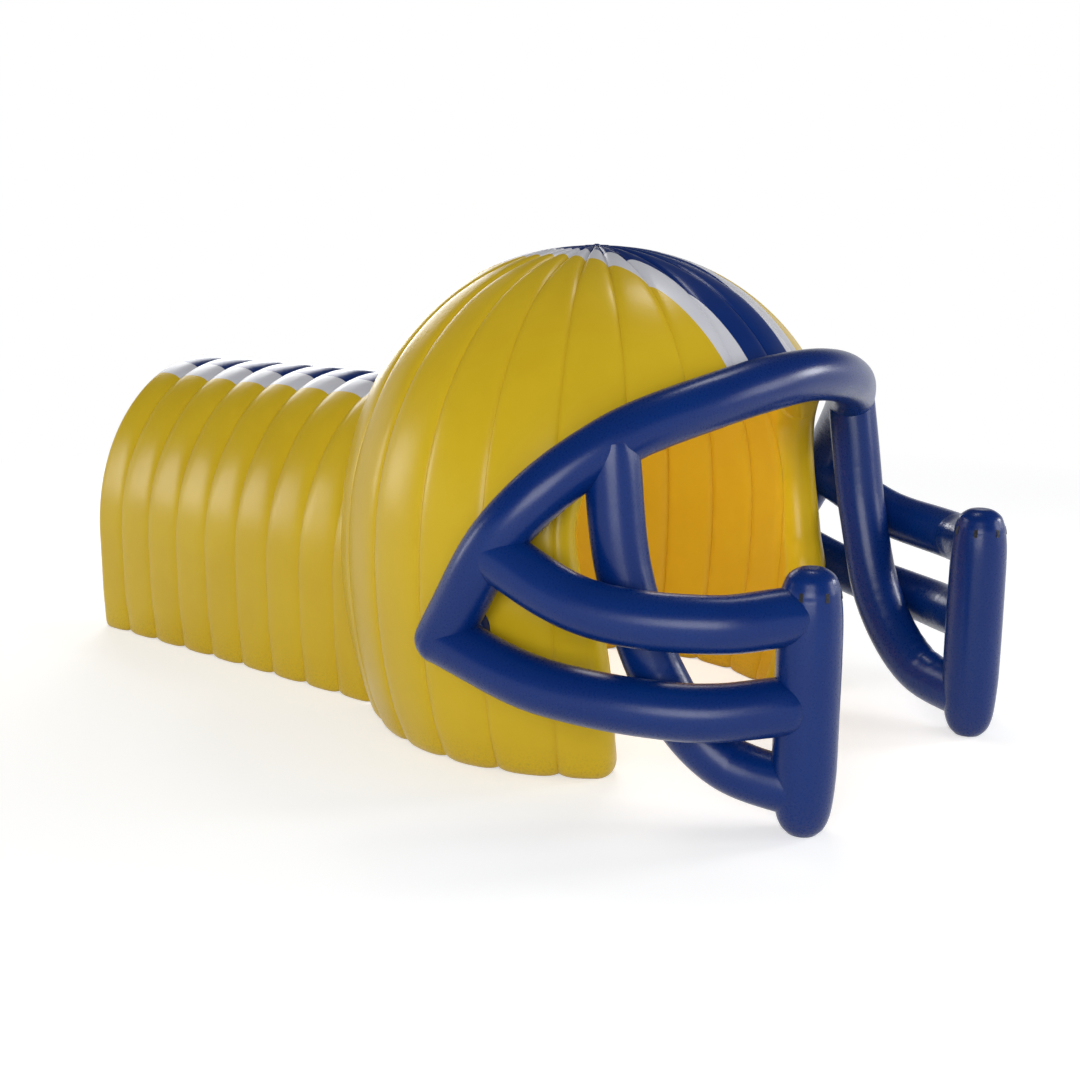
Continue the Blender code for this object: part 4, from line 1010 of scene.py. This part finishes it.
def make_motor_can(plastic):
    """Can over the motor, open round the shaft, with cooling fins and a fan cover at its end."""
    marks = [(CAN_BORE_DEPTH, 0.002), (CAN_BORE_DEPTH, CAN_BORE), (0, CAN_BORE), (0, CAN_RADIUS)]
    marks.append((CAN_LIP, CAN_RADIUS))
    straight = MOTOR_LENGTH - MOTOR_ROUND
    pitch = (straight - MOTOR_ROUND) / MOTOR_FINS
    for fin in range(MOTOR_FINS):
        marks += [(MOTOR_ROUND + (fin + share) * pitch, radius) for share, radius in FIN_SHARES]
    marks.append((straight, CAN_RADIUS))
    for turn in np.radians((15, 30, 45, 60, 75, 90)):
        back = straight + (MOTOR_ROUND + CAN_OVER) * math.sin(turn)
        marks.append((back, CAN_RADIUS - MOTOR_ROUND * (1 - math.cos(turn))))
    marks += [(MOTOR_LENGTH + back, radius) for back, radius in FAN_COVER]
    turn = circle(96)
    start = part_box("motor")[1].y
    rings = []
    for back, radius in marks:
        along, up = BLOWER_OFFSET + radius * np.cos(turn), FAN_AXIS_HEIGHT + radius * np.sin(turn)
        rings.append(to_points(along, start - back, up))
    add_piece("motor_can", closed_skin(rings, 35), "black_plastic", plastic)


def add_screws(name, radius, places, way, steel):
    """Socket-head screws at the places, all facing the same way."""
    turn = circle(24)
    hexagon = math.cos(math.pi / 6) / np.cos((turn + math.pi / 6) % (math.pi / 3) - math.pi / 6)
    rings = []
    for share, level, in_socket in SCREW_PROFILE:
        out = radius * share * (hexagon if in_socket else 1)
        rings.append(round_points(out, turn, level * radius))
    head = np.array(rings) @ facing(way)
    mesh = one_mesh([closed_skin(head + np.array(place)) for place in places])
    add_piece(name, shaded(mesh, 40), "steel", steel)


def make_blower_screws(steel):
    """Screws round both sides of the housing and in the inlet guard."""
    angles, inset, radius = HOUSING_SCREWS
    for side, way in (("inlet", 1), ("motor", -1)):
        low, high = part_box(f"blower_housing_{side}_side")
        face = high.y if way > 0 else low.y
        places = []
        for degrees in angles:
            turn = math.radians(degrees)
            reach = scroll_radius(degrees) - inset
            along, up = BLOWER_OFFSET - reach * math.cos(turn), FAN_AXIS_HEIGHT + reach * math.sin(turn)
            places.append((along, face, up))
        add_screws(f"housing_screws_{side}_side", radius, places, (0, way, 0), steel)
    angles, inset, radius = GUARD_SCREWS
    low, high, middle = box_of("inlet_grille")
    reach = (high.x - low.x) / 2 - inset
    places = [
        (middle.x + reach * math.cos(turn), high.y, middle.z + reach * math.sin(turn))
        for turn in np.radians(angles)
    ]
    add_screws("guard_screws", radius, places, (0, 1, 0), steel)


# Shader nodes

def feed(tree, target, inputs):
    """Sets each named input to a value, or joins it to another node's output."""
    for name, value in inputs.items():
        if isinstance(value, bpy.types.NodeSocket):
            tree.links.new(value, target.inputs[name])
        else:
            target.inputs[name].default_value = value


def node(tree, kind, inputs=None, **settings):
    made = tree.nodes.new(kind)
    for name, value in settings.items():
        setattr(made, name, value)
    feed(tree, made, inputs or {})
    return made


def new_group(name, inputs, outputs):
    """A shader node group. A Color is a colour socket, and so is an input that starts as a colour."""
    tree = bpy.data.node_groups.new(name, "ShaderNodeTree")
    for label, value in inputs.items():
        kind = "NodeSocketColor" if isinstance(value, tuple) else "NodeSocketFloat"
        tree.interface.new_socket(label, in_out="INPUT", socket_type=kind).default_value = value
    for label in outputs:
        kind = "NodeSocketColor" if label == "Color" else "NodeSocketFloat"
        tree.interface.new_socket(label, in_out="OUTPUT", socket_type=kind)
    return tree, node(tree, "NodeGroupInput").outputs, node(tree, "NodeGroupOutput")


def maths(tree, operation, first, second=None, clamp=False):
    inputs = {0: first} if second is None else {0: first, 1: second}
    return node(tree, "ShaderNodeMath", inputs, operation=operation, use_clamp=clamp).outputs[0]


def plus(tree, first, second, clamp=False):
    return maths(tree, "ADD", first, second, clamp)


def minus(tree, first, second):
    return maths(tree, "SUBTRACT", first, second)


def times(tree, first, second, clamp=False):
    return maths(tree, "MULTIPLY", first, second, clamp)


def noise(tree, place, scale, detail, roughness):
    inputs = {"Vector": place, "Scale": scale, "Detail": detail, "Roughness": roughness}
    return node(tree, "ShaderNodeTexNoise", inputs).outputs["Fac"]


def map_range(tree, value, start, end, low, high):
    inputs = {"Value": value, "From Min": start, "From Max": end, "To Min": low, "To Max": high}
    return node(tree, "ShaderNodeMapRange", inputs).outputs["Result"]


def mix_colour(tree, factor, first, second):
    inputs = {"Factor": factor, "A": first, "B": second}
    return node(tree, "ShaderNodeMix", inputs, data_type="RGBA").outputs["Result"]


def mark(tree, name):
    """A value that the mesh keeps on its points."""
    return node(tree, "ShaderNodeAttribute", attribute_type="GEOMETRY", attribute_name=name).outputs["Fac"]


def object_place(tree):
    return node(tree, "ShaderNodeTexCoord").outputs["Object"]


# Finishes

PLAIN = (1, 1, 1, 1)
SOIL = (0.12, 0.085, 0.045, 1)
YELLOW = (0.63, 0.43, 0.013, 1)
YELLOW_SHADE = (0.57, 0.37, 0.008, 1)
# The lining is the inner side of the same yellow cloth. Its deeper orange is painted light, standing for the
# light that shines through the cloth.
GLOW_PAINTED_LINER = (0.66, 0.41, 0.014, 1)
GLOW_PAINTED_LINER_SHADE = (0.60, 0.34, 0.008, 1)
WHITE = (0.62, 0.62, 0.66, 1)
WHITE_SHADE = (0.55, 0.55, 0.60, 1)
BLUE = (0.0008, 0.0225, 0.148, 1)
BLUE_SHADE = (0.0005, 0.017, 0.130, 1)
WEBBING = (0.012, 0.012, 0.013, 1)
WEBBING_LINT = (0.07, 0.07, 0.068, 1)
# Near-black vent colour: partly a dark mesh, partly painted shade of the vent openings.
VENT_MESH_AND_SHADE = (0.003, 0.003, 0.005, 1)
VENT_LINT = (0.014, 0.014, 0.018, 1)
GREY_THREAD = (0.20, 0.20, 0.20, 1)
THREAD_LINT = (0.35, 0.35, 0.34, 1)
BLACK_PLASTIC = (0.018, 0.018, 0.020, 1)
BLACK_SCUFF = (0.075, 0.072, 0.068, 1)
STEEL = (0.60, 0.60, 0.58, 1)
STEEL_SCUFF = (0.42, 0.40, 0.36, 1)
RED_PLASTIC = (0.55, 0.018, 0.010, 1)
RED_SCUFF = (0.50, 0.12, 0.09, 1)
# Scale, detail and roughness of each noise
CREASE_NOISE = (7.0, 3.0, 0.58)
FINE_NOISE = (60.0, 2.0, 0.60)
WEAVE_NOISE = (420.0, 1.0, 0.5)
FADING_NOISE = (1.3, 4.0, 0.6)
HANDLING_NOISE = (9.0, 4.0, 0.6)
SCRATCH_NOISE = (3.0, 3.0, 0.7)
SCRATCH_STRETCH = (30, 160, 60)
GRAIN_NOISE = (700.0, 2.0, 0.6)
LINT_NOISE = (40.0, 4.0, 0.7)
THREAD_SCALE = 210.0
STITCH_LINE = 0.011
# Strength and depth of each finish's relief
PLASTIC_RELIEF = (0.3, 0.0006)
WEBBING_RELIEF = (0.6, 0.0008)
CLOTH_RELIEF_DEPTH = 0.008


def coated_cloth_group():
    """Fine weave under the coating, soft creases, seams darkened by dirt and painted shade, and ground soil
    of coated cloth.
    """
    inputs = {"Color": PLAIN, "Shade": PLAIN, "Crease": 0.5, "Roughness": 0.4}
    tree, given, out = new_group("coated_cloth", inputs, ("Color", "Roughness", "Height"))
    place = object_place(tree)
    crease = noise(tree, place, *CREASE_NOISE)
    fine = noise(tree, place, *FINE_NOISE)
    weave = noise(tree, place, *WEAVE_NOISE)
    faded = map_range(tree, noise(tree, place, *FADING_NOISE), 0.38, 0.72, 0.0, 0.7)
    colour = mix_colour(tree, faded, given["Color"], given["Shade"])
    seam = mark(tree, "seam")
    # Colour darkens toward the Shade colour along the seams: partly dirt in the seams, partly painted shade
    # in the seam grooves.
    seam_dirt_and_shade = map_range(tree, seam, 0.004, 0.022, 1.0, 0.0)
    sewn = times(tree, seam_dirt_and_shade, maths(tree, "GREATER_THAN", seam, 0.0001))
    colour = mix_colour(tree, times(tree, sewn, 0.30), colour, given["Shade"])
    up = node(tree, "ShaderNodeSeparateXYZ", {0: place}).outputs["Z"]
    ground = map_range(tree, up, 0.02, 0.30, 1.0, 0.0)
    soil = times(tree, map_range(tree, fine, 0.45, 0.75, 0.0, 0.55), ground)
    colour = mix_colour(tree, times(tree, soil, 0.6), colour, SOIL)
    rough = plus(tree, map_range(tree, fine, 0.3, 0.7, -0.02, 0.03), given["Roughness"])
    rough = plus(tree, rough, times(tree, soil, 0.3))
    height = times(tree, crease, given["Crease"])
    height = plus(tree, height, times(tree, fine, 0.012))
    height = plus(tree, height, times(tree, weave, 0.002))
    stitch = maths(tree, "ABSOLUTE", minus(tree, seam, STITCH_LINE))
    height = minus(tree, height, map_range(tree, stitch, 0.0, 0.004, 0.12, 0.0))
    feed(tree, out, {"Color": colour, "Roughness": rough, "Height": height})
    return tree


def stripe_group():
    """Blue and white stripes down the middle of the helmet, on the cloth's own colour."""
    inputs = {"Cloth": PLAIN, "White": PLAIN, "Blue": (0, 0, 1, 1)}
    tree, given, out = new_group("helmet_stripes", inputs, ("Color",))
    aside = mark(tree, "print")
    colour = given["Cloth"]
    for edge, name in ((WHITE_STRIPE, "White"), (BLUE_STRIPE, "Blue")):
        colour = mix_colour(tree, maths(tree, "LESS_THAN", aside, edge), colour, given[name])
    feed(tree, out, {"Color": colour})
    return tree


def handled_group():
    """Grain, scuffs and dust of moulded and plated parts."""
    inputs = {"Color": PLAIN, "Scuffed": PLAIN, "Roughness": 0.4, "Grain": 0.3, "Scuffs": 0.5}
    tree, given, out = new_group("handled_surface", inputs, ("Color", "Roughness", "Height"))
    place = object_place(tree)
    patch = noise(tree, place, *HANDLING_NOISE)
    stretch = node(tree, "ShaderNodeMapping", {"Vector": place, "Scale": SCRATCH_STRETCH})
    scratch = noise(tree, stretch.outputs["Vector"], *SCRATCH_NOISE)
    grain = noise(tree, place, *GRAIN_NOISE)
    scuff = times(tree, map_range(tree, scratch, 0.60, 0.72, 0, 1), map_range(tree, patch, 0.45, 0.65, 0, 1))
    dust = map_range(tree, patch, 0.5, 0.8, 0.0, 0.35)
    marked = times(tree, plus(tree, scuff, dust), given["Scuffs"], clamp=True)
    feed(tree, out, {
        "Color": mix_colour(tree, marked, given["Color"], given["Scuffed"]),
        "Roughness": plus(tree, given["Roughness"], times(tree, marked, 0.25)),
        "Height": minus(tree, times(tree, grain, given["Grain"]), times(tree, scuff, 0.3)),
    })
    return tree


def weave_group():
    """Over and under of flat webbing, with a little lint."""
    inputs = {"Color": (0, 0, 0, 1), "Lint": PLAIN, "Threads": 1.0}
    tree, given, out = new_group("flat_weave", inputs, ("Color", "Height"))
    place = object_place(tree)
    threads = []
    for direction in ("X", "Z"):
        inputs = {"Vector": place, "Scale": times(tree, given["Threads"], THREAD_SCALE), "Distortion": 0.4}
        threads.append(node(tree, "ShaderNodeTexWave", inputs, bands_direction=direction).outputs["Fac"])
    woven = maths(tree, "MAXIMUM", *threads)
    lint = map_range(tree, noise(tree, place, *LINT_NOISE), 0.5, 0.8, 0.0, 0.4)
    shade = plus(tree, lint, map_range(tree, woven, 0.2, 1.0, 0.0, 0.25))
    feed(tree, out, {"Color": mix_colour(tree, shade, given["Color"], given["Lint"]), "Height": woven})
    return tree


COATED_CLOTH = coated_cloth_group()
STRIPES = stripe_group()
HANDLED = handled_group()
WEAVE = weave_group()


def new_material(name):
    """A new material, its node tree and its shader."""
    material = bpy.data.materials.new(name)
    material.use_nodes = True
    return material, material.node_tree, material.node_tree.nodes["Principled BSDF"]


def join_finish(tree, shader, finish, bump, depth):
    """Joins what a finish's group puts out to the shader."""
    inputs = {"Strength": bump, "Distance": depth, "Height": finish.outputs["Height"]}
    normal = node(tree, "ShaderNodeBump", inputs).outputs["Normal"]
    feed(tree, shader, {"Base Color": finish.outputs["Color"], "Normal": normal})
    rough = finish.outputs.get("Roughness")
    if rough:
        feed(tree, shader, {"Roughness": rough})


def cloth_material(name, colour, shade, roughness, gloss, striped=False, crease=0.3, bump=0.35):
    """Coated cloth, with or without the helmet's stripes printed on it."""
    material, tree, shader = new_material(name)
    feed(tree, shader, {"Specular IOR Level": gloss})
    inputs = {"Crease": crease, "Roughness": roughness, "Color": colour, "Shade": shade}
    if striped:
        for socket, white, blue in (("Color", WHITE, BLUE), ("Shade", WHITE_SHADE, BLUE_SHADE)):
            colours = {"Cloth": inputs[socket], "White": white, "Blue": blue}
            inputs[socket] = node(tree, "ShaderNodeGroup", colours, node_tree=STRIPES).outputs["Color"]
    finish = node(tree, "ShaderNodeGroup", inputs, node_tree=COATED_CLOTH)
    join_finish(tree, shader, finish, bump, CLOTH_RELIEF_DEPTH)
    return material


def handled_material(name, colour, scuffed, roughness, grain, scuffs, metallic=0.0):
    """Moulded plastic or plated metal."""
    material, tree, shader = new_material(name)
    feed(tree, shader, {"Metallic": metallic})
    inputs = {"Color": colour, "Scuffed": scuffed, "Roughness": roughness, "Grain": grain, "Scuffs": scuffs}
    join_finish(tree, shader, node(tree, "ShaderNodeGroup", inputs, node_tree=HANDLED), *PLASTIC_RELIEF)
    return material


def webbing_material(name, colour, lint, threads=1.0):
    """Flat webbing, its tape or its thread."""
    material, tree, shader = new_material(name)
    feed(tree, shader, {"Roughness": 0.75, "Sheen Weight": 0.2})
    inputs = {"Color": colour, "Lint": lint, "Threads": threads}
    join_finish(tree, shader, node(tree, "ShaderNodeGroup", inputs, node_tree=WEAVE), *WEBBING_RELIEF)
    return material


# Stage, light and camera

CAMERA_PLACE = (-9.25, -7.22, 3.90)
CAMERA_TURN = math.radians(49.9)
CAMERA_DIP = math.radians(12.3)
CAMERA_LENS = 50
SENSOR = 36
FAR_CLIP = 200
FLOOR_SIZE = 160
FLOOR_SHADE = 0.75
FLOOR_LIFT = 0.48
FLOOR_FADE = (7.0, 14.0)
SKY_COLOUR = (0.96, 0.98, 1, 1)
SKY_LIGHT = 0.32
CEILING = 0.06
CEILING_FADE = (0.16, 0.34)
# Name, place, what it is aimed at, size and watts
SOFTBOXES = (
    ("left_front", (-14, -9.5, 5.2), (0, 0, 1.0), (9, 6.5), 1380),
    ("left_rear", (-8.5, 12, 4.4), (-0.5, 1, 1.3), (3.4, 4.5), 330),
    ("right_front", (6, -14, 5), (0, -1.5, 1.3), (4.0, 5.0), 340),
    ("overhead", (2.3, -1.7, 9.0), (0, -1.5, 2), (1.5, 1.5), 60),
    ("rear_top", (5.8, 12.6, 7.7), (-0.5, 2.5, 2.2), (6, 4.5), 440),
    ("far_right", (9.8, -10.3, 5.6), (0, -3.5, 2.3), (3.0, 3.0), 520),
    ("right_rear", (10, 13, 4.4), (0, 0, 1.8), (8, 3.5), 620),
    ("through_the_cloth", (0, SHIFT, 3.0), (0, SHIFT, 0), (1.6, 1.6), 34),
    ("through_the_tunnel", (0, 2.0, 2.0), (0, 2.0, 0), (1.0, 2.6), 24),
)


def place_on_stage(name, data, place, way):
    """Adds a camera or a lamp that looks this way."""
    placed = add_object(name, data)
    placed.location = place
    placed.rotation_euler = Vector(way).to_track_quat("-Z", "Y").to_euler()
    return placed


def make_camera():
    data = bpy.data.cameras.new("camera")
    data.lens = CAMERA_LENS
    data.sensor_width = SENSOR
    data.clip_end = FAR_CLIP
    level = math.cos(CAMERA_DIP)
    way = (math.sin(CAMERA_TURN) * level, math.cos(CAMERA_TURN) * level, -math.sin(CAMERA_DIP))
    place = Vector(CAMERA_PLACE) + Vector((0, SHIFT, 0))
    bpy.context.scene.camera = place_on_stage("camera", data, place, way)


def make_softboxes():
    for name, place, aim, size, power in SOFTBOXES:
        data = bpy.data.lights.new(name, "AREA")
        data.shape = "RECTANGLE"
        data.size, data.size_y = size
        data.energy = power
        place_on_stage(name, data, place, Vector(aim) - Vector(place))


def mix_shaders(tree, factor, first, second):
    return node(tree, "ShaderNodeMixShader", {0: factor, 1: first, 2: second}).outputs[0]


def background_rays(tree):
    """1 for what sees the background: the camera, reflections and what glass lets through."""
    path = node(tree, "ShaderNodeLightPath").outputs
    seen = plus(tree, path["Is Camera Ray"], path["Is Glossy Ray"])
    return plus(tree, seen, path["Is Transmission Ray"], clamp=True)


def make_floor():
    """Pale floor that fades to white away from the object."""
    bpy.ops.mesh.primitive_plane_add(size=FLOOR_SIZE)
    floor = bpy.context.object
    floor.name = "floor"
    material, tree, shader = new_material("pale_floor")
    shade = (FLOOR_SHADE, FLOOR_SHADE, FLOOR_SHADE, 1)
    feed(tree, shader, {"Base Color": shade, "Roughness": 0.9, "Specular IOR Level": 0.0})
    matt = shader.outputs[0]
    reach = node(tree, "ShaderNodeVectorMath", {0: object_place(tree)}, operation="LENGTH")
    far = map_range(tree, reach.outputs["Value"], *FLOOR_FADE, 0.0, 1.0)
    glow = node(tree, "ShaderNodeEmission", {"Strength": FLOOR_LIFT}).outputs[0]
    lifted = node(tree, "ShaderNodeAddShader", {0: matt, 1: glow}).outputs[0]
    seen = mix_shaders(tree, far, lifted, node(tree, "ShaderNodeEmission").outputs[0])
    surface = mix_shaders(tree, background_rays(tree), matt, seen)
    feed(tree, tree.nodes["Material Output"], {"Surface": surface})
    floor.data.materials.append(material)


def make_sky():
    """White background, soft light from all round and a darker ceiling in what shines."""
    world = bpy.data.worlds.new("studio")
    world.use_nodes = True
    bpy.context.scene.world = world
    tree = world.node_tree
    tree.nodes.clear()
    way = node(tree, "ShaderNodeTexCoord").outputs["Generated"]
    up = node(tree, "ShaderNodeSeparateXYZ", {0: way}).outputs["Z"]
    unseen = minus(tree, 1.0, node(tree, "ShaderNodeLightPath").outputs["Is Camera Ray"])
    above = times(tree, map_range(tree, up, *CEILING_FADE, 0.0, 1.0), unseen)
    colour = mix_colour(tree, above, PLAIN, (CEILING, CEILING, CEILING, 1))
    white = node(tree, "ShaderNodeBackground", {"Color": colour}).outputs[0]
    light = node(tree, "ShaderNodeBackground", {"Color": SKY_COLOUR, "Strength": SKY_LIGHT}).outputs[0]
    node(tree, "ShaderNodeOutputWorld", {"Surface": mix_shaders(tree, background_rays(tree), light, white)})


def main():
    make_camera()
    make_floor()
    make_sky()
    make_softboxes()
    bpy.context.scene.view_settings.view_transform = "Standard"
    cloth = cloth_material("yellow_striped_cloth", YELLOW, YELLOW_SHADE, 0.30, 0.27, striped=True)
    # The lining's deeper orange is painted light, for the light shining through the cloth.
    lining = cloth_material("lining_with_painted_glow", GLOW_PAINTED_LINER, GLOW_PAINTED_LINER_SHADE, 0.45, 0.25)
    plain = cloth_material("yellow_cloth", YELLOW, YELLOW_SHADE, 0.38, 0.28)
    tubes = cloth_material("blue_cloth", BLUE, BLUE_SHADE, 0.28, 0.30, bump=0.24)
    webbing = webbing_material("black_webbing", WEBBING, WEBBING_LINT)
    vent_mesh_and_shade = webbing_material("vent_mesh_painted_dark", VENT_MESH_AND_SHADE, VENT_LINT, 2.0)
    thread = webbing_material("grey_thread", GREY_THREAD, THREAD_LINT, 3.0)
    plastic = handled_material("moulded_black_plastic", BLACK_PLASTIC, BLACK_SCUFF, 0.42, 0.5, 0.7)
    steel = handled_material("plated_steel", STEEL, STEEL_SCUFF, 0.26, 0.15, 0.5, metallic=1.0)
    red = handled_material("red_plastic", RED_PLASTIC, RED_SCUFF, 0.28, 0.1, 0.3)
    way = make_tunnel_way()
    for side in ("right", "left"):
        for number in range(GORES_A_SIDE):
            make_gore(number, side, cloth, lining, way)
    bpy.data.objects.remove(way)
    for number in range(RIB_COUNT):
        make_rib(number, cloth, lining)
    make_crown(tubes)
    make_mask(tubes, vent_mesh_and_shade)
    make_sleeve(plain)
    make_strap(webbing, plastic)
    make_zip(webbing, steel)
    for name in ("left", "right"):
        make_tab(name, webbing, thread)
    make_scroll_band(plastic)
    make_blower_feet(plastic)
    make_motor_can(plastic)
    make_blower_screws(steel)
    finish = {
        "yellow_fabric": plain, "blue_fabric": tubes, "black_webbing": webbing, "black_plastic": plastic,
        "steel": steel, "red_plastic": red,
    }
    slots = {row["node"]: row["material_slot"] for row in frame["record"]["subparts"]}
    for name, cad in NODES.items():
        if not cad.hide_render:
            cad.data.materials.clear()
            cad.data.materials.append(finish[slots[name]])


main()
